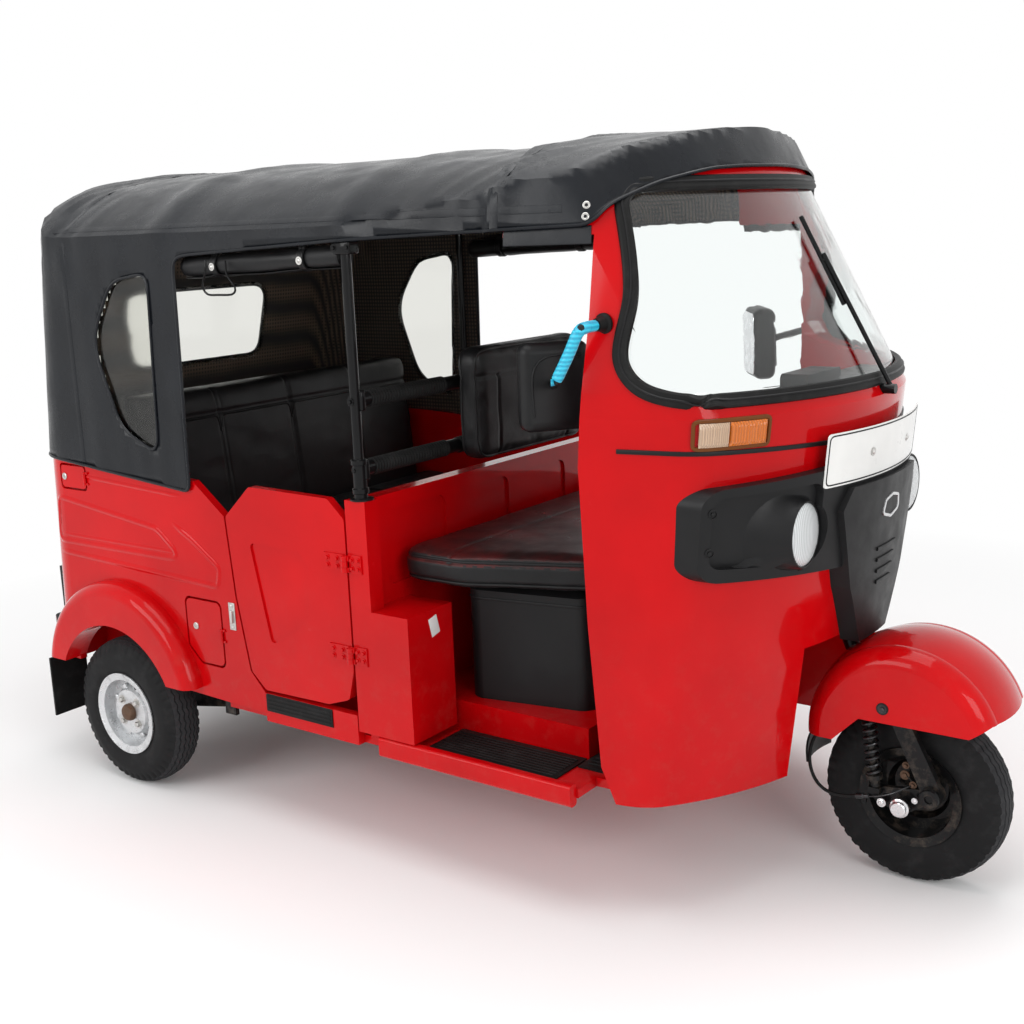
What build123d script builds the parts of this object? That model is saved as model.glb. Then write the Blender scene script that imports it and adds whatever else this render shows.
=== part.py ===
from build123d import *

import os
from math import cos, radians, sin, sqrt, tan

# Three-wheeled auto rickshaw: steel body, black fabric canopy, steered front wheel, rear engine.
# Frame: X forward, Y left, Z up, millimetres. The origin is on the ground under the middle of the
# overall length and width. Each piece is written to parts/NODE.step.

# ---- Wheels and stance -------------------------------------------------------------------
WHEELBASE = 2000.0
REAR_TRACK = 1150.0
TYRE_OD = 415.0
TYRE_WIDTH = 106.0
RIM_OD = 231.0
BEAD_OD = 206.0
FRONT_OVERHANG = 210.0
REAR_OVERHANG = 425.0
FRONT_X = (WHEELBASE + REAR_OVERHANG - FRONT_OVERHANG) / 2
REAR_X = FRONT_X - WHEELBASE
REAR_WHEEL_Y = REAR_TRACK / 2
TYRE_R = TYRE_OD / 2
AXLE_Z = TYRE_R

# ---- Body envelope -----------------------------------------------------------------------
BODY_HALF = 600.0
FENDER_HALF = 650.0
ROOF_TOP = 1675.0
WALL = 22.0
CLOTH = 10.0
SEAT_GAP = 0.3
SHUT_GAP = 6.0
REACH = 900.0
SILL_Z = 305.0
BELT_Z = 885.0

# ---- Stations along X --------------------------------------------------------------------
PILLAR_X = FRONT_X - 530.0
SHELL_ROOF_X = FRONT_X - 700.0
DRIVER_DOORWAY = 440.0
BOX_FRONT_X = PILLAR_X - DRIVER_DOORWAY
BOX_LENGTH = 155.0
BULKHEAD_X = BOX_FRONT_X - BOX_LENGTH
BULKHEAD_T = 25.0
DOOR_FRONT_X = BULKHEAD_X - 22.0
DOOR_LENGTH = 410.0
DOOR_REAR_X = DOOR_FRONT_X - DOOR_LENGTH
TAIL_X = REAR_X - 315.0
TAIL_LEAN = 30.0
POLE_X = BULKHEAD_X + 20.0

# ---- Steering axis -----------------------------------------------------------------------
RAKE = 22.7
AXIS_PASS_X = FRONT_X - 180.0
AXIS_PASS_Z = 570.0
AXIS_UP = Vector(-sin(radians(RAKE)), 0, cos(radians(RAKE)))
AXIS_FORWARD = Vector(cos(radians(RAKE)), 0, sin(radians(RAKE)))
COLUMN_R = 16.0
COLUMN_ROOM = 8.0
RUNNING_FIT = 0.05


# ---- Helpers -----------------------------------------------------------------------------
def block(x, y, z):
    """A box from three (low, high) pairs."""
    size = [high - low for low, high in (x, y, z)]
    middle = [(high + low) / 2 for low, high in (x, y, z)]
    return Pos(*middle) * Box(*size)


def prism(points, low, high, radius=0):
    """A polygon in the local XY plane, its corners rounded, from local z low to high."""
    if radius:
        edge = FilletPolyline(*points, radius=radius, close=True)
    else:
        edge = Polyline(*points, close=True)
    return Pos(0, 0, low) * extrude(make_face(edge), amount=high - low, dir=(0, 0, 1))


def side_prism(points, low, high, radius=0):
    """A polygon of (x, z) points carried along Y."""
    return Plane.XZ * prism(points, -high, -low, radius)


def front_prism(points, low, high, radius=0):
    """A polygon of (y, z) points carried along X."""
    return Plane.YZ * prism(points, low, high, radius)


def plan_prism(points, low, high, radius=0):
    """A polygon of (x, y) points carried along Z."""
    return prism(points, low, high, radius)


def rod(start, end, radius):
    """A round bar between two points."""
    start, end = Vector(*start), Vector(*end)
    along = end - start
    place = Plane(origin=start, z_dir=along)
    return place * Cylinder(radius, along.length, align=(Align.CENTER, Align.CENTER, Align.MIN))


def other_side(shape):
    return mirror(shape, about=Plane.XZ)


def pair(shape):
    """The shape and its mirror image across the middle plane."""
    return shape + other_side(shape)


def on_axis(height):
    """The point of the steering axis at a height."""
    rise = height - AXIS_PASS_Z
    return Vector(AXIS_PASS_X - rise * tan(radians(RAKE)), 0, height)


# ---- Nose form, shared by the shell, glass, fascia, lamps and plate ----------------------
NOSE_R = 750.0
NOSE_CORNER_R = 130.0
# Columns: height, setback of the nose from the front axle, half width at the roof's rear edge,
# half width at the pillar.
NOSE_SECTIONS = [
    (270.0, 190.0, 575.0, 545.0),
    (680.0, 138.0, 583.0, 549.0),
    (1100.0, 97.0, 587.0, 550.0),
    (1150.0, 120.0, 585.0, 547.0),
    (1550.0, 335.0, 535.0, 500.0),
    (1700.0, 415.0, 520.0, 487.0),
]


def nose_section(height, setback, rear_half, pillar_half, grow):
    """One plan outline of the nose: rear line, two sides, two corner arcs and the front arc."""
    centre = Vector(FRONT_X - setback - NOSE_R, 0)
    rear = Vector(SHELL_ROOF_X, rear_half)
    along = (Vector(PILLAR_X, pillar_half) - rear).normalized()
    out = Vector(-along.Y, along.X)
    offset = out.dot(rear) - NOSE_CORNER_R - out.dot(centre)
    reach = sqrt((NOSE_R - NOSE_CORNER_R) ** 2 - offset**2)
    corner = centre + out * offset + along * reach
    to_corner = (corner - centre).normalized()
    side_end = corner + out * (NOSE_CORNER_R + grow)
    arc_end = centre + to_corner * (NOSE_R + grow)
    corner_mid = corner + (out + to_corner).normalized() * (NOSE_CORNER_R + grow)
    rear_end = side_end - along * ((side_end.X - rear.X) / along.X)

    def left(point):
        return Vector(point.X, point.Y, height)

    def right(point):
        return Vector(point.X, -point.Y, height)

    edges = [
        Line(right(rear_end), right(side_end)),
        ThreePointArc(right(side_end), right(corner_mid), right(arc_end)),
        ThreePointArc(right(arc_end), (centre.X + NOSE_R + grow, 0, height), left(arc_end)),
        ThreePointArc(left(arc_end), left(corner_mid), left(side_end)),
        Line(left(side_end), left(rear_end)),
        Line(left(rear_end), right(rear_end)),
    ]
    return make_face(edges)


def nose(grow):
    """The solid inside the nose skin, moved outward by grow."""
    return loft([nose_section(*row, grow) for row in NOSE_SECTIONS], ruled=True)


def nose_skin(inner, outer):
    """A layer of the nose between two offsets."""
    return nose(outer) - nose(inner)


def roof_arch(grow):
    """Everything under the arched roof line, seen from the front."""
    crown = ROOF_TOP + grow
    shoulder_y, shoulder_drop = 380.0, 36.0
    eave_y, eave_drop = BODY_HALF + 40.0, 210.0
    mid_y = (shoulder_y + eave_y) / 2 + 12.0
    mid_drop = (shoulder_drop + eave_drop) / 2 - 26.0
    low = Vector(eave_y, SILL_Z - 100.0)
    edges = []
    for side in (1, -1):
        edges.append(
            ThreePointArc(
                (side * shoulder_y, crown - shoulder_drop),
                (side * mid_y, crown - mid_drop),
                (side * eave_y, crown - eave_drop),
            )
        )
        edges.append(Line((side * eave_y, crown - eave_drop), (side * low.X, low.Y)))
    edges.append(
        ThreePointArc(
            (shoulder_y, crown - shoulder_drop), (0, crown), (-shoulder_y, crown - shoulder_drop)
        )
    )
    edges.append(Line((low.X, low.Y), (-low.X, low.Y)))
    return Plane.YZ * Pos(0, 0, -2 * REACH) * extrude(make_face(edges), 4 * REACH, dir=(0, 0, 1))


# ---- Windscreen outline ------------------------------------------------------------------
SCREEN_LOW_Z = 1135.0
SCREEN_TOP_Z = 1555.0
SCREEN_LOW_HALF = 516.0
SCREEN_WIDE = (519.0, 1215.0)
SCREEN_WAIST = (506.0, 1296.0)
SCREEN_TOP_HALF = 446.0
SCREEN_CORNER = 50.0
GLASS_T = 6.0


def screen_prism(inset):
    points = [
        (-SCREEN_LOW_HALF + inset, SCREEN_LOW_Z + inset),
        (SCREEN_LOW_HALF - inset, SCREEN_LOW_Z + inset),
        (SCREEN_WIDE[0] - inset, SCREEN_WIDE[1]),
        (SCREEN_WAIST[0] - inset, SCREEN_WAIST[1]),
        (SCREEN_TOP_HALF - inset, SCREEN_TOP_Z - inset),
        (-SCREEN_TOP_HALF + inset, SCREEN_TOP_Z - inset),
        (-SCREEN_WAIST[0] + inset, SCREEN_WAIST[1]),
        (-SCREEN_WIDE[0] + inset, SCREEN_WIDE[1]),
    ]
    return front_prism(points, PILLAR_X - 20.0, FRONT_X, SCREEN_CORNER - inset)


# ---- Front wheel well --------------------------------------------------------------------
WELL_HALF = 212.0
WELL_TOP = 572.0
WELL_REAR_X = FRONT_X - 400.0
WELL_WALL = 16.0
DOORWAY_TOP = 1462.0


def well(grow):
    return block(
        (WELL_REAR_X - grow, FRONT_X), (-WELL_HALF - grow, WELL_HALF + grow), (0, WELL_TOP + grow)
    )


def front_shell():
    """Nose, pillars and front roof in one skin, with the screen cut and the wheel well."""
    shell = nose(0) & roof_arch(-CLOTH - SEAT_GAP)
    shell -= nose(-WALL) & roof_arch(-CLOTH - SEAT_GAP - WALL)
    shell += nose(0) & well(WELL_WALL)
    shell -= well(0)
    shell -= screen_prism(0)
    shell -= rod(on_axis(WELL_TOP - 60.0), on_axis(WELL_TOP + 60.0), COLUMN_R + COLUMN_ROOM)
    shell -= pair(lamp_socket())
    doorway = [
        (SHELL_ROOF_X - 50.0, 200.0),
        (PILLAR_X + 90.0, 200.0),
        (PILLAR_X + 32.0, 350.0),
        (PILLAR_X + 12.0, 660.0),
        (PILLAR_X, 1000.0),
        (PILLAR_X + 20.0, 1300.0),
        (PILLAR_X + 24.0, DOORWAY_TOP),
        (SHELL_ROOF_X - 50.0, DOORWAY_TOP),
    ]
    return shell - side_prism(doorway, -REACH, REACH)


def windscreen():
    middle = WALL / 2
    return nose_skin(-middle - GLASS_T / 2, -middle + GLASS_T / 2) & screen_prism(SEAT_GAP)


# ---- Nose fittings -----------------------------------------------------------------------
FASCIA_T = 30.0
FASCIA_RECESS = 16.0
LAMP_Y = 300.0
LAMP_Z = 847.0
LAMP_R = 70.0
LAMP_FACE_X = FRONT_X - 146.0
LAMP_DOME = 12.0
LAMP_DEPTH = 90.0
LAMP_TIP_R = 5.0
PLATE_HALF = 257.0
PLATE_LOW_Z = 935.0
PLATE_TOP_Z = 1048.0
PLATE_T = 2.0
PLATE_BOLT_Y = 100.0
PLATE_BOLT_R = 3.5
BEARD_T = 44.0
INDICATOR_T = 16.0


def lamp_fascia():
    """Black moulding round both lamps, with the ribbed middle panel below the plate."""
    band = [(-505.0, 772.0), (0, 742.0), (505.0, 772.0), (505.0, 962.0), (0, 985.0), (-505.0, 962.0)]
    hollow = [(252.0, 782.0), (488.0, 800.0), (488.0, 945.0), (252.0, 950.0)]
    beard = [
        (-78.0, 560.0),
        (78.0, 560.0),
        (150.0, 700.0),
        (205.0, 880.0),
        (175.0, 930.0),
        (-175.0, 930.0),
        (-205.0, 880.0),
        (-150.0, 700.0),
    ]
    fascia = nose_skin(SEAT_GAP, FASCIA_T) & front_prism(band, PILLAR_X, FRONT_X, 40.0)
    scoop = nose_skin(FASCIA_T - FASCIA_RECESS, FASCIA_T + 5.0)
    fascia -= scoop & pair(front_prism(hollow, PILLAR_X, FRONT_X, 25.0))
    fascia += nose_skin(SEAT_GAP, BEARD_T) & front_prism(beard, PILLAR_X, FRONT_X)
    plate_seat = [
        (-PLATE_HALF, PLATE_LOW_Z - 8.0),
        (PLATE_HALF, PLATE_LOW_Z - 8.0),
        (PLATE_HALF, PLATE_TOP_Z),
        (-PLATE_HALF, PLATE_TOP_Z),
    ]
    fascia -= nose_skin(FASCIA_T, BEARD_T + 5.0) & front_prism(plate_seat, PILLAR_X, FRONT_X)
    return fascia - pair(lamp_socket())


def lamp_socket():
    """The round hole that the left lamp sits in."""
    return rod((PILLAR_X, LAMP_Y, LAMP_Z), (FRONT_X, LAMP_Y, LAMP_Z), LAMP_R + SEAT_GAP)


def headlamps():
    """Two round lamps, each a bowl let into the fascia and the skin, under a domed lens."""
    start = LAMP_FACE_X - LAMP_DEPTH
    face = make_face(
        [
            Line((start, 0), (start, LAMP_R)),
            Line((start, LAMP_R), (LAMP_FACE_X, LAMP_R)),
            ThreePointArc(
                (LAMP_FACE_X, LAMP_R),
                (LAMP_FACE_X + 0.7 * LAMP_DOME, 0.55 * LAMP_R),
                (LAMP_FACE_X + LAMP_DOME, LAMP_TIP_R),
            ),
            Line((LAMP_FACE_X + LAMP_DOME, LAMP_TIP_R), (LAMP_FACE_X + LAMP_DOME, 0)),
            Line((LAMP_FACE_X + LAMP_DOME, 0), (start, 0)),
        ]
    )
    lamp = revolve(face, Axis.X, 360)
    return pair(Pos(0, LAMP_Y, LAMP_Z) * lamp)


def signal_lamps():
    """Amber corner lamps on the nose and red lamps low on the tail."""
    corner = [(368.0, 1043.0), (492.0, 1043.0), (492.0, 1098.0), (368.0, 1098.0)]
    front = nose_skin(SEAT_GAP, INDICATOR_T) & front_prism(corner, PILLAR_X, FRONT_X, 10.0)
    lamp_x = tail_x(TAIL_LAMP_Z)
    rear = block(
        (lamp_x - TAIL_LAMP_DEPTH, lamp_x + 60.0),
        (TAIL_LAMP_Y - TAIL_LAMP_HALF, TAIL_LAMP_Y + TAIL_LAMP_HALF),
        (TAIL_LAMP_Z - TAIL_LAMP_HALF, TAIL_LAMP_Z + TAIL_LAMP_HALF),
    )
    rear = fillet(rear.faces().sort_by(Axis.X)[0].edges(), 12.0)
    rear -= tail_form(SEAT_GAP)
    return pair(front) + pair(rear)


def number_plate():
    """Blank plate bent round the nose, with two bolt holes."""
    points = [
        (-PLATE_HALF, PLATE_LOW_Z),
        (PLATE_HALF, PLATE_LOW_Z),
        (PLATE_HALF, PLATE_TOP_Z),
        (-PLATE_HALF, PLATE_TOP_Z),
    ]
    stand_off = FASCIA_T + SEAT_GAP
    plate = nose_skin(stand_off, stand_off + PLATE_T) & front_prism(points, PILLAR_X, FRONT_X, 8.0)
    bolt_z = (PLATE_LOW_Z + PLATE_TOP_Z) / 2
    for side in (1, -1):
        y = side * PLATE_BOLT_Y
        plate -= rod((PILLAR_X, y, bolt_z), (FRONT_X, y, bolt_z), PLATE_BOLT_R)
    return plate


# ---- Tail form ---------------------------------------------------------------------------
TAIL_LAMP_Y = 520.0
TAIL_LAMP_Z = 382.0
TAIL_LAMP_HALF = 45.0
TAIL_LAMP_DEPTH = 34.0


def tail_x(height):
    """X of the tail wall's outer face, which leans out towards its foot."""
    return TAIL_X - TAIL_LEAN * (BELT_Z - height) / (BELT_Z - SILL_Z)


# Front edge of the quarter panel, as (x behind the door's rear station, height).
QUARTER_EDGE = [(-105.0, BELT_Z), (0, 805.0), (18.0, 600.0), (52.0, 410.0), (98.0, 362.0)]
TUB_CORNER_R = 110.0
HEM_REAR_Z = 915.0
HEM_FRONT_Z = 857.0
CANOPY_TAIL_TOP = 85.0


def quarter_edge(shift):
    return [(DOOR_REAR_X + x + shift, z) for x, z in QUARTER_EDGE]


def rounded_tail(rear, half, radius, height):
    """Plan outline up to the nose whose two tail corners are rounded."""
    near, short = radius, radius * (1 - sqrt(0.5))
    edges = []
    for side in (1, -1):
        edges.append(Line((FRONT_X, side * half), (rear + near, side * half)))
        edges.append(
            ThreePointArc(
                (rear + near, side * half),
                (rear + short, side * (half - short)),
                (rear, side * (half - near)),
            )
        )
    edges.append(Line((rear, half - near), (rear, near - half)))
    edges.append(Line((FRONT_X, half), (FRONT_X, -half)))
    return Pos(0, 0, height) * make_face(edges)


def tail_form(grow):
    """The tub's solid form, its rounded tail leaning with the wall, pushed out by grow."""
    outlines = [
        rounded_tail(tail_x(z) - grow, BODY_HALF + grow, TUB_CORNER_R + grow, z)
        for z in (SILL_Z - 60.0, BELT_Z + 60.0)
    ]
    return loft(outlines, ruled=True)


def tub_foot(x):
    """Height of the body's lower edge behind the seat riser."""
    front, rear = REAR_X + ARCH_HALF + 60.0, tail_x(SILL_Z) - 20.0
    return SILL_Z + 8.0 + 12.0 * (front - x) / (front - rear)


# ---- Wheel arches ------------------------------------------------------------------------
ARCH_HALF = 215.0
ARCH_FOOT_Z = 335.0
ARCH_RISE = 130.0
FENDER_ARC_HALF = 305.0
FENDER_RISE = 248.0
HOUSE_INNER_Y = 488.0
HOUSE_TOP = 482.0
HOUSE_HALF = 238.0
HOUSE_WALL = 18.0


def arch_prism(half, rise, low, high, foot=ARCH_FOOT_Z):
    """An arc-topped opening over the rear axle, carried along Y, open down to the ground."""
    edges = [
        ThreePointArc((REAR_X - half, foot), (REAR_X, foot + rise), (REAR_X + half, foot)),
        Line((REAR_X + half, foot), (REAR_X + half, 0)),
        Line((REAR_X + half, 0), (REAR_X - half, 0)),
        Line((REAR_X - half, 0), (REAR_X - half, foot)),
    ]
    face = extrude(make_face(edges), high - low, dir=(0, 0, 1))
    return Plane.XZ * Pos(0, 0, -high) * face


DECK_Z = 600.0
SHELF_Z = 880.0
PANEL_T = 18.0
RISER_X = REAR_X + 400.0
DECK_REAR_X = REAR_X + 50.0
SHELF_FRONT_X = REAR_X + 15.0

LID_HALF = 360.0
LID_LOW_Z = 578.0
LID_TOP_Z = 790.0
LOUVRES = 5
LOUVRE_PITCH = 26.0
LOUVRE_H = 9.0
LOUVRE_HALF = 110.0
LOUVRE_Y = 162.0
HATCH_T = 10.0
POCKET_DEPTH = 16.0
# Columns: x ahead of the rear axle, height.
HATCH_OUTLINE = [(264.0, 578.0), (405.0, 578.0), (405.0, 398.0), (312.0, 398.0), (264.0, 442.0)]
FLAP_OUTLINE = [(-213.0, 893.0), (-98.0, 893.0), (-98.0, 820.0), (-213.0, 820.0)]


def outline_inset(outline, inset):
    """The outline's points about the rear axle, pulled in towards its middle by inset."""
    xs = [x for x, z in outline]
    zs = [z for x, z in outline]
    mid_x, mid_z = (min(xs) + max(xs)) / 2, (min(zs) + max(zs)) / 2
    squeeze_x = 1 - 2 * inset / (max(xs) - min(xs))
    squeeze_z = 1 - 2 * inset / (max(zs) - min(zs))
    return [
        (REAR_X + mid_x + (x - mid_x) * squeeze_x, mid_z + (z - mid_z) * squeeze_z)
        for x, z in outline
    ]


def rear_body():
    """Quarter panels, tail wall, wheel houses, seat riser, engine deck and shelf, welded up."""
    foot = (DOOR_REAR_X + 98.0, SILL_Z)
    profile = [
        *quarter_edge(0),
        foot,
        (REAR_X + ARCH_HALF + 60.0, tub_foot(REAR_X + ARCH_HALF + 60.0)),
        (tail_x(SILL_Z) - 20.0, tub_foot(tail_x(SILL_Z) - 20.0)),
        (tail_x(BELT_Z + 25.0) - 20.0, BELT_Z + 25.0),
        (DOOR_REAR_X - 300.0, BELT_Z + 12.0),
    ]
    outline = side_prism(profile, -REACH, REACH)
    body = (tail_form(0) - tail_form(-WALL)) & outline
    body += hollow_panels()
    house = block(
        (REAR_X - HOUSE_HALF - HOUSE_WALL, REAR_X + HOUSE_HALF + HOUSE_WALL),
        (HOUSE_INNER_Y - HOUSE_WALL, BODY_HALF - WALL / 2),
        (SILL_Z + 10.0, HOUSE_TOP + HOUSE_WALL),
    )
    house_void = block(
        (REAR_X - HOUSE_HALF, REAR_X + HOUSE_HALF),
        (HOUSE_INNER_Y, BODY_HALF - WALL),
        (SILL_Z - 60.0, HOUSE_TOP),
    )
    body += pair(house) & outline
    body -= pair(house_void)
    body -= pair(arch_prism(ARCH_HALF, ARCH_RISE, BODY_HALF - WALL - 1.0, BODY_HALF + 1.0))
    body -= lid_window(0)
    body -= pocket(HATCH_OUTLINE, 20.0) + pocket(FLAP_OUTLINE, 14.0)
    lid, hatch, flap = small_hinge_axes()
    for where in (*lid, hatch, flap):
        body += hinge_ears(where)
    return body


def hollow_panels():
    """Seat riser, engine deck, sloping back and parcel shelf, one bent sheet."""
    shelf_rear_x = tail_x(SHELF_Z) + WALL / 2
    sheet = [
        (RISER_X, SILL_Z + SEAT_GAP),
        (RISER_X, DECK_Z),
        (DECK_REAR_X, DECK_Z),
        (SHELF_FRONT_X, SHELF_Z),
        (shelf_rear_x, SHELF_Z),
        (shelf_rear_x, SHELF_Z - PANEL_T),
        (SHELF_FRONT_X - PANEL_T, SHELF_Z - PANEL_T),
        (DECK_REAR_X - PANEL_T, DECK_Z - PANEL_T),
        (RISER_X - PANEL_T, DECK_Z - PANEL_T),
        (RISER_X - PANEL_T, SILL_Z + SEAT_GAP),
    ]
    sheets = side_prism(sheet, WALL / 2 - BODY_HALF, BODY_HALF - WALL / 2)
    return sheets & tail_form(-WALL / 2)


def lid_window(inset):
    points = [
        (-LID_HALF + inset, LID_LOW_Z + inset),
        (LID_HALF - inset, LID_LOW_Z + inset),
        (LID_HALF - inset, LID_TOP_Z - inset),
        (-LID_HALF + inset, LID_TOP_Z - inset),
    ]
    return front_prism(points, tail_x(0) - 50.0, TAIL_X + WALL + 30.0, 30.0)


def pocket(outline, radius):
    """A sunk seat for a small lid in the right quarter panel."""
    y_out = -BODY_HALF
    return side_prism(outline_inset(outline, 0), y_out - 1.0, y_out + POCKET_DEPTH, radius)


def small_lid(outline, radius):
    y_out = -BODY_HALF
    inset = SHUT_GAP
    return side_prism(outline_inset(outline, inset), y_out, y_out + HATCH_T, radius - 4.0)


SMALL_KNUCKLE_R = 4.0
SMALL_PIN_R = 1.6
SMALL_HALF = 18.0
SMALL_EAR = 6.0
SMALL_SINK = 1.5
LID_HINGE_Y = 200.0


def small_hinge_axes():
    """Places of the small hinges: the tail lid's two, the side hatch's and the filler flap's."""
    lid_z = LID_TOP_Z - SHUT_GAP / 2
    lid_x = tail_x(lid_z) - SMALL_KNUCKLE_R
    lid = [
        Plane(origin=(lid_x, y, lid_z), x_dir=(0, 0, -1), z_dir=(0, -1, 0))
        for y in (LID_HINGE_Y, -LID_HINGE_Y)
    ]
    side = []
    for outline in (HATCH_OUTLINE, FLAP_OUTLINE):
        x = REAR_X + max(column[0] for column in outline) - SHUT_GAP / 2
        heights = [column[1] for column in outline]
        z = (max(heights) + min(heights)) / 2
        origin = (x, -BODY_HALF - SMALL_KNUCKLE_R, z)
        side.append(Plane(origin=origin, x_dir=(-1, 0, 0), z_dir=(0, 0, -1)))
    return lid, side[0], side[1]


def hinge_ears(where):
    """Two ears and the pin between them; x points to the lid and y into the panel."""
    ears = rod((0, 0, -SMALL_HALF), (0, 0, SMALL_HALF), SMALL_PIN_R)
    for low in (-SMALL_HALF, SMALL_HALF - SMALL_EAR):
        ears += rod((0, 0, low), (0, 0, low + SMALL_EAR), SMALL_KNUCKLE_R)
        foot = SMALL_KNUCKLE_R + SMALL_SINK
        ears += block((-12.0, 0), (0, foot), (low, low + SMALL_EAR))
    return where * ears


def with_barrel(lid, where):
    """The lid with the bored barrel that turns on the pin."""
    half = SMALL_HALF - SMALL_EAR - SEAT_GAP
    barrel = rod((0, 0, -half), (0, 0, half), SMALL_KNUCKLE_R)
    barrel += block((0, 12.0), (0, SMALL_KNUCKLE_R + SMALL_SINK), (-half, half))
    bore = rod((0, 0, -SMALL_HALF), (0, 0, SMALL_HALF), SMALL_PIN_R + RUNNING_FIT)
    return lid + where * barrel - where * bore


def side_hatch():
    return with_barrel(small_lid(HATCH_OUTLINE, 20.0), small_hinge_axes()[1])


def filler_flap():
    return with_barrel(small_lid(FLAP_OUTLINE, 14.0), small_hinge_axes()[2])


def engine_lid():
    """Tail lid with louvres; its hinge line is along its top edge."""
    wall = side_prism(
        [
            (tail_x(SILL_Z), SILL_Z),
            (tail_x(SILL_Z) + WALL, SILL_Z),
            (tail_x(BELT_Z) + WALL, BELT_Z),
            (tail_x(BELT_Z), BELT_Z),
        ],
        -BODY_HALF,
        BODY_HALF,
    )
    lid = wall & lid_window(SHUT_GAP)
    for row in range(LOUVRES):
        z = LID_LOW_Z + 45.0 + row * LOUVRE_PITCH
        slot = block(
            (tail_x(0), TAIL_X + 60.0),
            (LOUVRE_Y - LOUVRE_HALF, LOUVRE_Y + LOUVRE_HALF),
            (z, z + LOUVRE_H),
        )
        lid -= pair(slot)
    for where in small_hinge_axes()[0]:
        lid = with_barrel(lid, where)
    return lid


def rear_fenders():
    """Rounded arches that stand out from the quarter panels over the rear tyres."""
    outer = arch_prism(FENDER_ARC_HALF, FENDER_RISE, BODY_HALF + SEAT_GAP, FENDER_HALF)
    outer &= block((-2 * REACH, REACH), (0, REACH), (ARCH_FOOT_Z - 3.0, REACH))
    crown = outer.faces().sort_by(Axis.Y)[-1].edges().filter_by(GeomType.CIRCLE)
    outer = fillet(crown, 36.0)
    inner = arch_prism(ARCH_HALF, ARCH_RISE, BODY_HALF - 1.0, FENDER_HALF + 1.0)
    return pair(outer - inner)


FLAP_T = 6.0
FLAP_FOOT_Z = 150.0


def mud_flaps():
    """Rubber flaps hung behind the rear wheels under the body's lower edge."""
    rear = REAR_X - HOUSE_HALF - HOUSE_WALL - 40.0
    top = tub_foot(rear) - SEAT_GAP
    return pair(block((rear - FLAP_T, rear), (525.0, FENDER_HALF - 5.0), (FLAP_FOOT_Z, top)))


BUMPER_Z = (438.0, 562.0)
BUMPER_T = 26.0
BUMPER_HALF = 530.0
BUMPER_BOW = 55.0
STAY_Y = 425.0
TOW_EYE_R = 10.0
TOW_EYE_T = 12.0
TOW_HALF = 24.0
TOW_GAP = 16.0
TOW_Z = 396.0


def rear_bumper():
    """Bowed bar on two stays, with the tow eye hung under its middle."""
    rear = FRONT_X + FRONT_OVERHANG - (WHEELBASE + FRONT_OVERHANG + REAR_OVERHANG)
    edges = [
        ThreePointArc((rear + BUMPER_BOW, -BUMPER_HALF), (rear, 0), (rear + BUMPER_BOW, BUMPER_HALF)),
        Line((rear + BUMPER_BOW, BUMPER_HALF), (rear + BUMPER_BOW + BUMPER_T, BUMPER_HALF)),
        ThreePointArc(
            (rear + BUMPER_BOW + BUMPER_T, BUMPER_HALF),
            (rear + BUMPER_T, 0),
            (rear + BUMPER_BOW + BUMPER_T, -BUMPER_HALF),
        ),
        Line((rear + BUMPER_BOW + BUMPER_T, -BUMPER_HALF), (rear + BUMPER_BOW, -BUMPER_HALF)),
    ]
    height = BUMPER_Z[1] - BUMPER_Z[0]
    bar = Pos(0, 0, BUMPER_Z[0]) * extrude(make_face(edges), height, dir=(0, 0, 1))
    stay = block(
        (rear + BUMPER_BOW, tail_x(BUMPER_Z[0]) + 40.0),
        (STAY_Y - 15.0, STAY_Y + 15.0),
        (BUMPER_Z[0] + 30.0, BUMPER_Z[1] - 30.0),
    )
    eye_x, eye_top = rear + TOW_HALF, TOW_Z + TOW_EYE_T
    across = (-TOW_HALF, TOW_HALF)
    lug = block((eye_x - TOW_HALF, eye_x + TOW_HALF), across, (TOW_Z, eye_top))
    lug += block((rear, rear + BUMPER_T), across, (TOW_Z, BUMPER_Z[0] + 1.0))
    gap = (rear - 1.0, rear + BUMPER_T + 1.0)
    lug -= block(gap, (-TOW_GAP, TOW_GAP), (eye_top, BUMPER_Z[0]))
    lug -= rod((eye_x, 0, TOW_Z - 1.0), (eye_x, 0, eye_top + 1.0), TOW_EYE_R)
    return bar + pair(stay - tail_form(SEAT_GAP)) + lug


# ---- Canopy ------------------------------------------------------------------------------
EAVE_REAR_Z = 1440.0
EAVE_POLE_Z = 1468.0
EAVE_FRONT_Z = 1483.0
OPENING_REAR_X = REAR_X + 345.0
CANOPY_LOW_Z = 700.0
# The fabric's front edge over the shell's brow. Columns: x ahead of the pillar, height.
BROW_EDGE = [(20.0, 1479.0), (47.0, 1519.0), (100.0, 1560.0), (150.0, 1586.0), (205.0, 1596.0)]
# Columns: x ahead of the rear axle, height.
QUARTER_PANE = [(245.0, 1405.0), (100.0, 1385.0), (0, 1235.0), (85.0, 1005.0), (225.0, 945.0)]
REAR_PANE = [(-250.0, 1110.0), (250.0, 1110.0), (285.0, 1330.0), (-285.0, 1330.0)]


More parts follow.
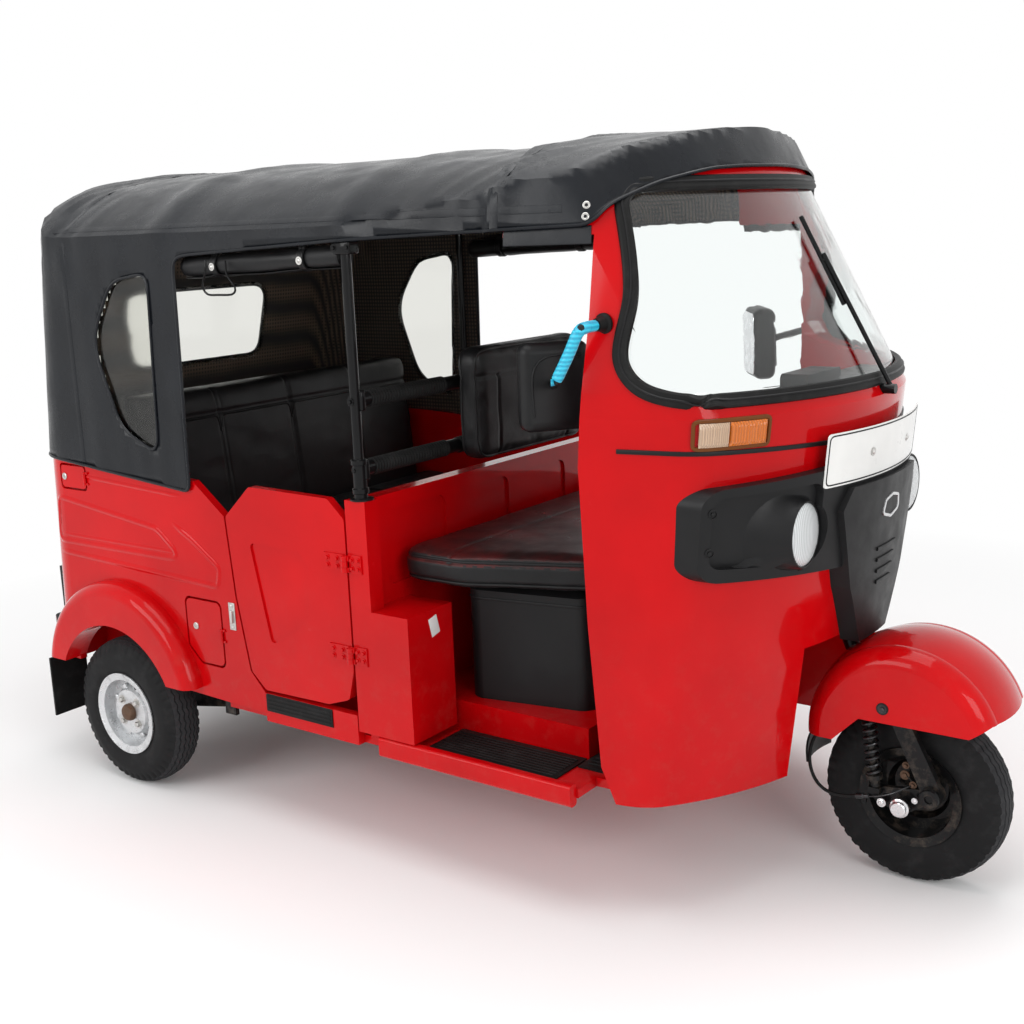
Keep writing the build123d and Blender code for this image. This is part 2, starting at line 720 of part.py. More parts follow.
def canopy_form(inset):
    """The canopy's solid form behind the shell roof, pulled in by inset."""
    half = BODY_HALF + CLOTH + SEAT_GAP - inset
    radius = TUB_CORNER_R + CLOTH - inset
    foot = tail_x(BELT_Z) - CLOTH - SEAT_GAP + inset
    high = ROOF_TOP + 60.0
    lean = CANOPY_TAIL_TOP / (ROOF_TOP - HEM_REAR_Z)
    hem = rounded_tail(foot, half, radius, HEM_REAR_Z)
    top = rounded_tail(foot + lean * (high - HEM_REAR_Z), half, radius, high)
    walls = loft([hem, top], ruled=True)
    walls += extrude(hem, HEM_REAR_Z - CANOPY_LOW_Z, dir=(0, 0, -1))
    crown = ROOF_TOP - inset
    bend_z = crown - 135.0
    bend_x = foot + lean * (bend_z - HEM_REAR_Z)
    profile = make_face(
        [
            Line((foot - 60.0, CANOPY_LOW_Z), (foot - 60.0, bend_z)),
            Line((foot - 60.0, bend_z), (bend_x, bend_z)),
            ThreePointArc(
                (bend_x, bend_z), (bend_x + 38.0, crown - 34.0), (bend_x + 135.0, crown + 1.0)
            ),
            Line((bend_x + 135.0, crown + 1.0), (SHELL_ROOF_X, crown + 1.0)),
            Line((SHELL_ROOF_X, crown + 1.0), (SHELL_ROOF_X, CANOPY_LOW_Z)),
            Line((SHELL_ROOF_X, CANOPY_LOW_Z), (foot - 60.0, CANOPY_LOW_Z)),
        ]
    )
    side = Plane.XZ * Pos(0, 0, -REACH) * extrude(profile, 2 * REACH, dir=(0, 0, 1))
    front_half = NOSE_SECTIONS[4][2] + 12.0 - inset
    taper = [
        (foot - 60.0, -REACH),
        (POLE_X, -REACH),
        (POLE_X, -half),
        (SHELL_ROOF_X, -front_half),
        (SHELL_ROOF_X, front_half),
        (POLE_X, half),
        (POLE_X, REACH),
        (foot - 60.0, REACH),
    ]
    return walls & side & plan_prism(taper, CANOPY_LOW_Z, high) & roof_arch(-inset)


def side_opening():
    """The open side under the eaves, from the quarter to the front pillar."""
    points = [
        (OPENING_REAR_X - 25.0, 700.0),
        (OPENING_REAR_X, EAVE_REAR_Z),
        (OPENING_REAR_X + 60.0, EAVE_REAR_Z + 6.0),
        (POLE_X, EAVE_POLE_Z),
        (PILLAR_X + 60.0, EAVE_FRONT_Z),
        (PILLAR_X + 60.0, 700.0),
    ]
    return side_prism(points, -REACH, REACH)


def canopy():
    """Fabric roof and tail hood, open at the sides, with its clear panes cut out."""
    cloth = canopy_form(0) - canopy_form(CLOTH)
    front = nose(SEAT_GAP + CLOTH) & roof_arch(0)
    front -= nose(SEAT_GAP) & roof_arch(-CLOTH)
    edge = [(PILLAR_X + x, z) for x, z in BROW_EDGE]
    top = ROOF_TOP + 60.0
    brow = side_prism(
        [(SHELL_ROOF_X, edge[0][1]), *edge, (edge[-1][0], top), (SHELL_ROOF_X, top)],
        -REACH,
        REACH,
    )
    cloth += front & brow
    cloth -= side_opening()
    hem = [
        (tail_x(BELT_Z) - 200.0, HEM_REAR_Z),
        (tail_x(BELT_Z), HEM_REAR_Z),
        (OPENING_REAR_X, HEM_FRONT_Z),
        (OPENING_REAR_X, 600.0),
        (tail_x(BELT_Z) - 200.0, 600.0),
    ]
    cloth -= side_prism(hem, -REACH, REACH)
    cloth -= pane_cut(0)
    return cloth


def pane_cut(inset):
    """The three clear panes' outlines through the hood."""
    quarter = side_prism(outline_inset(QUARTER_PANE, inset), -REACH, REACH, 40.0 - inset)
    rear = [
        (y - inset if y > 0 else y + inset, z + inset if z < 1200.0 else z - inset)
        for y, z in REAR_PANE
    ]
    return quarter + front_prism(rear, tail_x(0) - 60.0, tail_x(BELT_Z) + 150.0, 50.0 - inset)


def window_panes():
    middle = CLOTH / 2
    sheet = canopy_form(middle - 1.5) - canopy_form(middle + 1.5)
    return sheet & pane_cut(SEAT_GAP)


POLE_R = 12.0
SLEEVE_R = 16.0
POLE_Y = BODY_HALF - WALL / 2
BOW_R = 11.0
ROLL_R = 32.0
ROLL_RISE = 18.0
SLEEVE_H = 95.0
# Heights of the two bars across the vehicle behind the driver.
BAR_Z = (955.0, 1112.0)
BAR_X = POLE_X - 6.0
BAR_R = 17.0
QUARTER_LEG_X = REAR_X + 290.0


def canopy_frame():
    """Side poles with socket sleeves, quarter legs, hoops under the roof and two cross bars."""
    under = roof_arch(-CLOTH - SEAT_GAP)
    legs = None
    for side in (1, -1):
        y = side * (POLE_Y - 8.0)
        low = BELT_Z + SEAT_GAP
        pole = rod((POLE_X, y, low), (POLE_X, y, ROOF_TOP), POLE_R) & under
        pole += rod((POLE_X, y, low), (POLE_X, y, low + SLEEVE_H), SLEEVE_R)
        leg_y = side * (POLE_Y - 1.0)
        leg_low = BELT_Z + 12.0 + SEAT_GAP
        leg = rod((QUARTER_LEG_X, leg_y, leg_low), (QUARTER_LEG_X, leg_y, ROOF_TOP), BOW_R - 1.0)
        both = pole + (leg & under)
        legs = both if legs is None else legs + both
    frame = legs + hoop(POLE_X) + hoop(QUARTER_LEG_X)
    for z in BAR_Z:
        frame += rod((BAR_X, 8.0 - POLE_Y, z), (BAR_X, POLE_Y - 8.0, z), BAR_R)
    return frame


def hoop(x):
    """A round hoop close under the fabric from eave to eave."""
    outer = roof_arch(-CLOTH - SEAT_GAP)
    inner = roof_arch(-CLOTH - SEAT_GAP - 2 * BOW_R)
    half = POLE_Y - 8.0 + BOW_R - 1.0
    slice_box = block((x - BOW_R, x + BOW_R), (-half, half), (EAVE_POLE_Z - 20.0, ROOF_TOP + 50.0))
    return (outer - inner) & slice_box


def rolled_curtains():
    """Side curtains rolled up under the eaves behind the poles."""
    y = BODY_HALF + SEAT_GAP - ROLL_R - SEAT_GAP
    z = EAVE_REAR_Z - ROLL_R + 8.0
    start, end = OPENING_REAR_X + 12.0, POLE_X - POLE_R - SEAT_GAP
    roll = rod((start, y, z), (end + ROLL_R, y, z + ROLL_RISE), ROLL_R)
    roll &= block((start, end), (0, REACH), (0, 2 * REACH))
    return pair(roll)


# ---- Floor, chassis and bulkhead ---------------------------------------------------------
FLOOR_T = 20.0
FLOOR_TOP = SILL_Z
STEP_FRONT_X = PILLAR_X + 66.0
RAIL_Y = 300.0
RAIL_W = 40.0
RAIL_H = 50.0
RAIL_TOP = FLOOR_TOP - FLOOR_T - SEAT_GAP
BOX_TOP = 625.0
BOX_INNER_Y = 440.0
SEAT_BASE_TOP = 378.0
RIBS = 4
RIB_PITCH = 265.0
RIB_HALF = 112.0
HEAD_Z = (630.0, 800.0)
POST_X = WELL_REAR_X - 78.0
POST_T = 40.0
POST_HALF = 25.0
STAY_TOP = 650.0

# ---- Rear suspension and engine ----------------------------------------------------------
ARM_Y = 480.0
ARM_PIVOT_X = REAR_X + 320.0
ARM_PIVOT_Z = 262.0
EAR_TOP = 302.0
EAR_Y = ARM_Y + 40.0
EAR_T = 12.0
HUB_R = 60.0
AXLE_R = 12.5
SHAFT_R = 14.0
DAMPER_R = 24.0
DAMPER_AHEAD = 62.0
ENGINE_HALF_Y = 165.0
ENGINE_X = (REAR_X - 235.0, REAR_X + 215.0)
ENGINE_Z = (212.0, 540.0)
MOUNT_Z = (246.0, 276.0)


def floor_pan():
    """Flat floor with rolled step edges beside the driver, sills under the doors and a plinth."""
    tub_half = BODY_HALF - WALL - SEAT_GAP
    inner = NOSE_SECTIONS[0][3] - WALL - 18.0
    outline = [
        (RISER_X - PANEL_T, -tub_half),
        (STEP_FRONT_X - 70.0, -tub_half),
        (STEP_FRONT_X - 70.0, -inner),
        (WELL_REAR_X - WELL_WALL - SEAT_GAP, -inner + 8.0),
        (WELL_REAR_X - WELL_WALL - SEAT_GAP, inner - 8.0),
        (STEP_FRONT_X - 70.0, inner),
        (STEP_FRONT_X - 70.0, tub_half),
        (RISER_X - PANEL_T, tub_half),
    ]
    pan = plan_prism(outline, FLOOR_TOP - FLOOR_T, FLOOR_TOP) - head_post(SEAT_GAP)
    step = block(
        (BOX_FRONT_X - 110.0, STEP_FRONT_X - 75.0),
        (BODY_HALF - WALL - 2.0, BODY_HALF + 2.0),
        (SILL_Z - 36.0, SILL_Z + 14.0),
    )
    step = fillet(step.edges().filter_by(Axis.X), 9.0)
    sill = block(
        (DOOR_REAR_X + 98.0 + SEAT_GAP, DOOR_FRONT_X + 2.0),
        (BODY_HALF - WALL - 1.0, BODY_HALF),
        (FLOOR_TOP - FLOOR_T, SILL_Z + 55.0),
    )
    plinth = block(
        (BULKHEAD_X + BULKHEAD_T + SEAT_GAP, PILLAR_X - 70.0),
        (-430.0, 430.0),
        (SILL_Z, SEAT_BASE_TOP),
    )
    return pan + pair(step) + pair(sill) + plinth


def bulkhead():
    """Ribbed wall behind the driver, with the boxes and posts that carry the doors' pins."""
    inner_half = BODY_HALF - WALL
    x0 = BULKHEAD_X
    wall = block((x0, x0 + BULKHEAD_T), (-inner_half, inner_half), (SILL_Z + SEAT_GAP, BELT_Z))
    lip = block((x0 - 10.0, x0 + BULKHEAD_T + 4.0), (-inner_half, inner_half), (BELT_Z - 14.0, BELT_Z))
    wall += lip
    for column in range(RIBS):
        y = (column - (RIBS - 1) / 2) * RIB_PITCH
        panel = block(
            (x0 + BULKHEAD_T - 7.0, x0 + BULKHEAD_T + 1.0),
            (y - RIB_HALF, y + RIB_HALF),
            (BOX_TOP + 40.0, BELT_Z - 40.0),
        )
        panel = fillet(panel.edges().filter_by(Axis.X), 24.0)
        wall -= panel
    box = block(
        (DOOR_FRONT_X + SHUT_GAP, BOX_FRONT_X), (BOX_INNER_Y, BODY_HALF), (SILL_Z + 16.0, BOX_TOP)
    )
    post = block(
        (DOOR_FRONT_X + SHUT_GAP, DOOR_FRONT_X + SHUT_GAP + 62.0),
        (BODY_HALF - 45.0, BODY_HALF),
        (BOX_TOP - 1.0, BELT_Z),
    )
    # The boxes overhang the rolled step edge, so the step's space is cut away.
    notch = block(
        (BOX_FRONT_X - 110.0 - SEAT_GAP, BOX_FRONT_X + 1.0),
        (BODY_HALF - WALL - 2.0 - SEAT_GAP, BODY_HALF + 3.0),
        (SILL_Z, SILL_Z + 14.0 + SEAT_GAP),
    )
    return wall + pair(box + post + door_hinges()) - pair(notch)


def steering_head():
    """Head tube with its stay and the post that stands on the front cross member."""
    low, high = on_axis(HEAD_Z[0]), on_axis(HEAD_Z[1])
    head = rod(low, high, COLUMN_R + 12.0)
    stay = block((POST_X, low.X - 4.0), (-POST_HALF, POST_HALF), (HEAD_Z[0] - 30.0, STAY_TOP))
    shape = head + stay + head_post(0)
    return shape - rod(on_axis(CROWN_Z), on_axis(HEAD_Z[1] + 100.0), COLUMN_R + RUNNING_FIT)


def head_post(grow):
    """The post under the head tube, grown for the floor's cut-out."""
    return block(
        (POST_X - grow, POST_X + POST_T + grow),
        (-POST_HALF - grow, POST_HALF + grow),
        (RAIL_TOP + SEAT_GAP, STAY_TOP),
    )


def chassis():
    """Two rails, four cross members and the brackets that carry the trailing arms."""
    low = RAIL_TOP - RAIL_H
    front, rear = WELL_REAR_X - 40.0, tail_x(SILL_Z) + 30.0
    rail = (RAIL_Y - RAIL_W / 2, RAIL_Y + RAIL_W / 2)
    frame = pair(block((rear, front), rail, (low, RAIL_TOP)))
    for x in (front - RAIL_W / 2, BULKHEAD_X, RISER_X + 60.0, rear + RAIL_W / 2):
        frame += block((x - RAIL_W / 2, x + RAIL_W / 2), (-RAIL_Y, RAIL_Y), (low, RAIL_TOP))
    outrigger = block(
        (ARM_PIVOT_X - 20.0, ARM_PIVOT_X + 20.0), (RAIL_Y, EAR_Y + EAR_T / 2), (low, EAR_TOP)
    )
    outrigger -= block(
        (ARM_PIVOT_X - 30.0, ARM_PIVOT_X + 30.0),
        (ARM_Y - 60.0, EAR_Y - EAR_T / 2),
        (0, EAR_TOP - 8.0),
    )
    ear = block(
        (ARM_PIVOT_X - 20.0, ARM_PIVOT_X + 20.0),
        (EAR_Y - EAR_T / 2, EAR_Y + EAR_T / 2),
        (ARM_PIVOT_Z - 26.0, EAR_TOP),
    )
    return frame + pair(outrigger + ear)


def rear_suspension():
    """Trailing arms with drums, stub axles and drive shafts, and a damper standing on each arm."""
    inner_y, outer_y = ARM_Y - 40.0, ARM_Y - 12.0
    outline = [
        (ARM_PIVOT_X + 26.0, ARM_PIVOT_Z + 22.0),
        (ARM_PIVOT_X + 26.0, ARM_PIVOT_Z - 22.0),
        (REAR_X - 34.0, AXLE_Z - 34.0),
        (REAR_X - 34.0, AXLE_Z + 34.0),
        (REAR_X + 110.0, AXLE_Z + 48.0),
    ]
    arm = side_prism(outline, inner_y, outer_y, 14.0)
    arm += rod((REAR_X, outer_y - 4.0, AXLE_Z), (REAR_X, ARM_Y + 16.0, AXLE_Z), HUB_R)
    arm += rod((REAR_X, ARM_Y, AXLE_Z), (REAR_X, REAR_WHEEL_Y + 10.0, AXLE_Z), AXLE_R)
    arm += rod((REAR_X, ENGINE_HALF_Y, AXLE_Z), (REAR_X, inner_y + 4.0, AXLE_Z), SHAFT_R)
    arm += rod(
        (ARM_PIVOT_X, outer_y - 4.0, ARM_PIVOT_Z),
        (ARM_PIVOT_X, EAR_Y - EAR_T / 2 - SEAT_GAP, ARM_PIVOT_Z),
        17.0,
    )
    damper_y = (inner_y + outer_y) / 2 - 12.0
    damper = rod(
        (REAR_X + DAMPER_AHEAD, damper_y, AXLE_Z + 48.0 + SEAT_GAP),
        (REAR_X + DAMPER_AHEAD, damper_y, DECK_Z - PANEL_T - SEAT_GAP),
        DAMPER_R,
    )
    return pair(arm) + pair(damper)


def engine():
    """Engine and gearbox as one plain block between the rear wheels, on its two mounts."""
    body = block(ENGINE_X, (-ENGINE_HALF_Y + SEAT_GAP, ENGINE_HALF_Y - SEAT_GAP), ENGINE_Z)
    body = fillet(body.edges().filter_by(Axis.Y), 30.0)
    reach = RAIL_Y - RAIL_W / 2 - SEAT_GAP
    mount = block((REAR_X - 40.0, REAR_X + 40.0), (-reach, reach), MOUNT_Z)
    return body + mount


# ---- Seats -------------------------------------------------------------------------------
SEAT_BOX_TOP = 672.0
CUSHION_TOP = 760.0
BACKREST_HALF = 240.0
BACKREST_T = 72.0
BENCH_HALF = 552.0
BACK_T = 88.0
BACK_TOP = 1090.0


def seat_box():
    """Black moulded box under the driver's seat, chamfered round its top."""
    x0, x1 = BULKHEAD_X + BULKHEAD_T + 130.0, PILLAR_X - 75.0
    right = [(x0, -400.0), (x1 - 60.0, -345.0), (x1, -240.0)]
    plan = right + [(x, -y) for x, y in reversed(right)]
    box = plan_prism(plan, SEAT_BASE_TOP + SEAT_GAP, SEAT_BOX_TOP, 40.0)
    top = box.faces().sort_by(Axis.Z)[-1]
    return chamfer(top.edges(), 24.0)


def driver_cushion():
    """Wide cushion, narrower towards its front."""
    x0, x1 = BULKHEAD_X + BULKHEAD_T + 1.0, PILLAR_X - 50.0
    right = [(x0, -505.0), (x0 + 190.0, -505.0), (x1, -380.0)]
    plan = right + [(x, -y) for x, y in reversed(right)]
    cushion = plan_prism(plan, SEAT_BOX_TOP + SEAT_GAP, CUSHION_TOP, 60.0)
    top = cushion.faces().sort_by(Axis.Z)[-1]
    return fillet(top.edges(), 20.0)


def driver_backrest():
    """Pad fixed to the front of the two bars."""
    x0 = BAR_X + BAR_R + SEAT_GAP
    pad = block((x0, x0 + BACKREST_T), (-BACKREST_HALF, BACKREST_HALF), (912.0, 1208.0))
    pad = fillet(pad.edges().filter_by(Axis.X), 38.0)
    return fillet(pad.faces().sort_by(Axis.X)[-1].edges(), 16.0)


def bench_cushion():
    """Bench pad, rounded along its front."""
    x0, x1 = DECK_REAR_X + BACK_T + SEAT_GAP, RISER_X + 60.0
    cushion = block((x0, x1), (-BENCH_HALF, BENCH_HALF), (DECK_Z + SEAT_GAP, DECK_Z + 110.0))
    return fillet(cushion.faces().sort_by(Axis.X)[-1].edges().filter_by(Axis.Y), 26.0)


def bench_back():
    """Leaning squab behind the bench cushion, on the sloping panel."""
    lean = (SHELF_FRONT_X - DECK_REAR_X) / (SHELF_Z - DECK_Z)
    top_x = DECK_REAR_X + lean * (BACK_TOP - DECK_Z)
    points = [
        (DECK_REAR_X + SEAT_GAP, DECK_Z + SEAT_GAP),
        (DECK_REAR_X + BACK_T, DECK_Z + SEAT_GAP),
        (top_x + BACK_T, BACK_TOP),
        (top_x + SEAT_GAP, BACK_TOP),
    ]
    return side_prism(points, -BENCH_HALF, BENCH_HALF, 8.0)


def floor_mat():
    """Rubber mat over the driver's floor."""
    height = (FLOOR_TOP + SEAT_GAP, FLOOR_TOP + 4.0)
    return block((PILLAR_X - 68.0, POST_X - 2.0), (-480.0, 480.0), height)


def dash_panel():
    """Shelf under the windscreen with the instrument hood."""
    shelf = block((FRONT_X - 320.0, FRONT_X), (-430.0, 430.0), (1082.0, 1112.0))
    shelf &= nose(-WALL - SEAT_GAP)
    hood = block((FRONT_X - 300.0, FRONT_X - 235.0), (-90.0, 90.0), (1082.0, 1145.0))
    return shelf + fillet(hood.edges().filter_by(Axis.X), 12.0)


# ---- Mirrors and wiper -------------------------------------------------------------------
MIRROR_ROOT = (PILLAR_X + 55.0, 495.0, 1290.0)


MIRROR_ARM_R = 9.0
MIRROR_HEAD = (58.0, 150.0, 186.0)
MIRROR_TURN = 38.0


def mirrors():
    """Mirror heads folded in behind the pillars on bent arms."""
    root = Vector(*MIRROR_ROOT)
    elbow = root + Vector(-12.0, 95.0, -6.0)
    knee = root + Vector(-70.0, 101.0, -110.0)
    middle = root + Vector(-150.0, -5.0, -135.0)
    arm = rod(root, elbow, MIRROR_ARM_R) - nose(SEAT_GAP)
    arm += rod(elbow, knee, MIRROR_ARM_R)
    arm += rod(knee, middle + Vector(5.0, 6.0, 2.0), MIRROR_ARM_R)
    for bend in (elbow, knee):
        arm += Pos(*bend) * Sphere(MIRROR_ARM_R)
    head = Box(*MIRROR_HEAD)
    head = fillet(head.edges(), 22.0)
    return pair(arm + Pos(*middle) * Rot(0, 0, MIRROR_TURN) * head)


WIPER_PIVOT_Z = 1112.0


def screen_x(height):
    """X of the screen surface on the middle plane."""
    (low, low_back), (high, high_back) = (NOSE_SECTIONS[3][:2], NOSE_SECTIONS[4][:2])
    return FRONT_X - low_back - (high_back - low_back) * (height - low) / (high - low)


def wiper():
    """Parked upright: spindle, arm and blade a few millimetres off the glass."""
    pivot_x = screen_x(NOSE_SECTIONS[3][0])
    hub = rod((pivot_x - 10.0, 0, WIPER_PIVOT_Z), (pivot_x + 48.0, 0, WIPER_PIVOT_Z), 11.0)
    foot = Vector(pivot_x + 40.0, 0, WIPER_PIVOT_Z)
    tip = Vector(screen_x(1400.0) + 14.0, 0, 1400.0)
    low, high = Vector(screen_x(1290.0) + 4.0, 0, 1290.0), Vector(screen_x(1480.0) + 4.0, 0, 1480.0)
    arm = hub + rod(foot, tip, 5.0) + rod(low, high, 5.5)
    grip = Vector(screen_x(1385.0), 0, 1385.0)
    arm += rod(grip + Vector(4.0, 0, 0), grip + Vector(14.0, 0, 0), 5.0)
    return arm - nose(SEAT_GAP)


# ---- Steering and front suspension -------------------------------------------------------
BAR_HALF = 280.0
BAR_SWEEP = 130.0
BAR_PASS_Z = 990.0
GRIP_R = 16.0
POD = (70.0, 110.0, 40.0)
CROWN_Z = 470.0
LEG_Y = 88.0
LEG_TOP_X = FRONT_X - 52.0
LEG_T = 18.0
PIVOT = (FRONT_X + 62.0, 240.0)
LINK_T = 12.0
SHOCK_X = FRONT_X - 62.0
SHOCK_Y = 96.0
SHOCK_SEAT_Z = 238.0
SPRING_R = 17.0
COILS = 11
COIL_T = 9.0
FENDER_HALF_W = 135.0
FENDER_T = 6.0
FENDER_R = 226.0
FENDER_CENTRE_Z = 357.0


def handlebar():
    """Swept bar with grips, clamped to the top of the column."""
    middle = on_axis(BAR_PASS_Z)
    bar = None
    for side in (1, -1):
        knee = middle + AXIS_FORWARD * 4.0 + Vector(0, side * 90.0, 0)
        end = middle - AXIS_FORWARD * BAR_SWEEP + Vector(0, side * BAR_HALF, 0)
        grip_start = knee + (end - knee) * 0.45
        arm = rod(middle, knee, 11.0) + rod(knee, end, 11.0) + rod(grip_start, end, GRIP_R)
        arm += Pos(*knee) * Sphere(11.0)
        bar = arm if bar is None else bar + arm
    clamp = rod(middle - AXIS_UP * 22.0, middle + AXIS_UP * 22.0, 26.0)
    pod = Box(*POD, align=(Align.CENTER, Align.CENTER, Align.MIN))
    return bar + clamp + Plane(origin=middle + AXIS_UP * 22.0, z_dir=AXIS_UP) * pod


def fork():
    """Column, crown, the single leg beside the wheel and the link that carries the axle."""
    top = on_axis(BAR_PASS_Z) - AXIS_UP * 22.3
    crown = on_axis(CROWN_Z)
    shape = rod(crown, top, COLUMN_R)
    deep = (CROWN_Z - 14.0, CROWN_Z + 14.0)
    shape += block((crown.X - 26.0, LEG_TOP_X + 24.0), (-26.0, 26.0), deep)
    shape += block((SHOCK_X - 44.0, LEG_TOP_X + 24.0), (-SHOCK_Y - 16.0, 26.0), deep)
    pivot_x, pivot_z = PIVOT
    leg = [
        (LEG_TOP_X - 18.0, CROWN_Z + 10.0),
        (LEG_TOP_X + 22.0, CROWN_Z + 10.0),
        (pivot_x + 20.0, pivot_z + 20.0),
        (pivot_x - 22.0, pivot_z + 6.0),
    ]
    shape += side_prism(leg, -LEG_Y - LEG_T / 2, -LEG_Y + LEG_T / 2)
    shape += rod((pivot_x, -LEG_Y - 20.0, pivot_z), (pivot_x, -LEG_Y + 22.0, pivot_z), 23.0)
    link = [
        (pivot_x + 10.0, pivot_z - 10.0),
        (pivot_x, pivot_z + 12.0),
        (SHOCK_X, 236.0),
        (SHOCK_X - 22.0, 222.0),
        (SHOCK_X, 200.0),
        (FRONT_X, AXLE_Z - 26.0),
    ]
    shape += side_prism(link, -LEG_Y - 2.0, -LEG_Y + LINK_T - 2.0, 4.0)
    shape += block(
        (SHOCK_X - 13.0, SHOCK_X + 13.0),
        (-SHOCK_Y - 12.0, -LEG_Y + LINK_T - 2.0),
        (SHOCK_SEAT_Z - 16.0, SHOCK_SEAT_Z),
    )
    shape += rod((FRONT_X, -LEG_Y - 16.0, AXLE_Z), (FRONT_X, 40.0, AXLE_Z), AXLE_R)
    shape += rod((FRONT_X, -LEG_Y - 26.0, AXLE_Z), (FRONT_X, -LEG_Y, AXLE_Z), 19.0)
    return shape


def front_shock():
    """Coil and damper from the link to the crown."""
    foot_z, top_z = SHOCK_SEAT_Z + SEAT_GAP, CROWN_Z - 14.0 - SEAT_GAP
    low = Vector(SHOCK_X, -SHOCK_Y, foot_z)
    high = Vector(SHOCK_X - 26.0, -SHOCK_Y, top_z)
    reach = (high - low).normalized() * 10.0
    body = rod(low - reach, high + reach, 11.0)
    body &= block((0, REACH * 2), (-REACH, REACH), (foot_z, top_z))
    along = high - low
    for turn in range(COILS):
        start = low + along * (0.12 + 0.8 * turn / COILS)
        body += rod(start, start + along.normalized() * COIL_T, SPRING_R)
    return body


def front_fender():
    """Deep hooded guard that turns with the wheel."""
    hood = fender_ring(0) - fender_ring(FENDER_T)
    rear, tip = FRONT_X - REACH, FRONT_X + REACH
    foot = [
        (rear, 344.0),
        (FRONT_X - 150.0, 344.0),
        (FRONT_X - 90.0, 404.0),
        (FRONT_X + 150.0, 404.0),
        (FRONT_X + 190.0, 432.0),
        (tip, 432.0),
        (tip, REACH),
        (rear, REACH),
    ]
    hood &= side_prism(foot, -REACH, REACH)
    return hood - rod(on_axis(CROWN_Z), on_axis(CROWN_Z + 120.0), COLUMN_R + SEAT_GAP)


def fender_ring(inset):
    """A barrel round the guard's own centre, crowned across its width."""
    half, top = FENDER_HALF_W - inset, FENDER_R - inset
    shoulder, edge = top - 12.0, top - 52.0
    crown_half = half - 46.0
    edges = []
    for side in (1, -1):
        edges.append(Line((0, side * half), (edge, side * half)))
        edges.append(
            ThreePointArc(
                (edge, side * half),
                (shoulder - 8.0, side * (half - 18.0)),
                (shoulder, side * crown_half),
            )
        )
    edges.append(ThreePointArc((shoulder, crown_half), (top, 0), (shoulder, -crown_half)))
    edges.append(Line((0, half), (0, -half)))
    return revolved(edges, FRONT_X - 6.0, 0, FENDER_CENTRE_Z)


def revolved(points, x, y, z):
    """A ring swept round a wheel's axle from (radius, offset along the axle) edges."""
    face = make_face(points)
    ring = revolve(face, Axis.Y, 360)
    return Pos(x, y, z) * ring


BEAD_SETBACK = 9.0


def tyre(x, y):
    """Road tyre: flat bead seat, bulged walls and a crowned tread."""
    half, bead, shoulder = TYRE_WIDTH / 2, BEAD_OD / 2, TYRE_R - 10.0
    seat, edge, wall = half - BEAD_SETBACK, half - 12.0, (bead + shoulder) / 2
    edges = [
        Line((bead, -seat), (bead, seat)),
        ThreePointArc((bead, seat), (wall, half), (shoulder, edge)),
        ThreePointArc((shoulder, edge), (TYRE_R, 0), (shoulder, -edge)),
        ThreePointArc((shoulder, -edge), (wall, -half), (bead, -seat)),
    ]
    return revolved(edges, x, y, AXLE_Z)


DISC_T = 8.0
RIM_T = 7.0
HUB_STEP_R = 62.0


def rim(x, y, outward):
    """Steel rim with a stepped disc and a hub bored for the axle; outward is +1 or -1 in Y."""
    bead, flange = BEAD_OD / 2 - SEAT_GAP, RIM_OD / 2
    seat = TYRE_WIDTH / 2 - BEAD_SETBACK + SEAT_GAP
    lip = seat + 4.8
    bore = AXLE_R + RUNNING_FIT
    inner = bead - RIM_T
    disc, boss = 8.0, 26.0
    profile = [
        (inner, -seat - 4.0),
        (flange, -lip - 4.0),
        (flange, -lip),
        (bead, -seat),
        (bead, seat),
        (flange, lip),
        (flange, lip + 4.0),
        (inner, seat + 4.0),
        (inner, disc + DISC_T),
        (inner - 22.0, disc + DISC_T),
        (HUB_STEP_R, boss + DISC_T),
        (bore, boss + DISC_T),
        (bore, -20.0),
        (HUB_STEP_R - 20.0, -20.0),
        (HUB_STEP_R - 20.0, boss),
        (HUB_STEP_R, boss),
        (inner - 24.0, disc),
        (inner, disc),
    ]
    face = make_face(Polyline(*[(r, a * outward, 0) for r, a in profile], close=True))
    ring = revolve(face, Axis.Y, 360)
    return Pos(x, y, AXLE_Z) * ring


# ---- Doors and hinges --------------------------------------------------------------------
HINGE_Z = (512.0, 735.0)
HINGE_PIN_R = 4.0
HINGE_PIN_Y = BODY_HALF + 10.0
KNUCKLE_R = 8.0
KNUCKLE_H = 14.0
KNUCKLE_GAP = 0.5
EAR_H = 12.0
LEAF_T = 4.0
HINGE_X = DOOR_FRONT_X + SHUT_GAP / 2


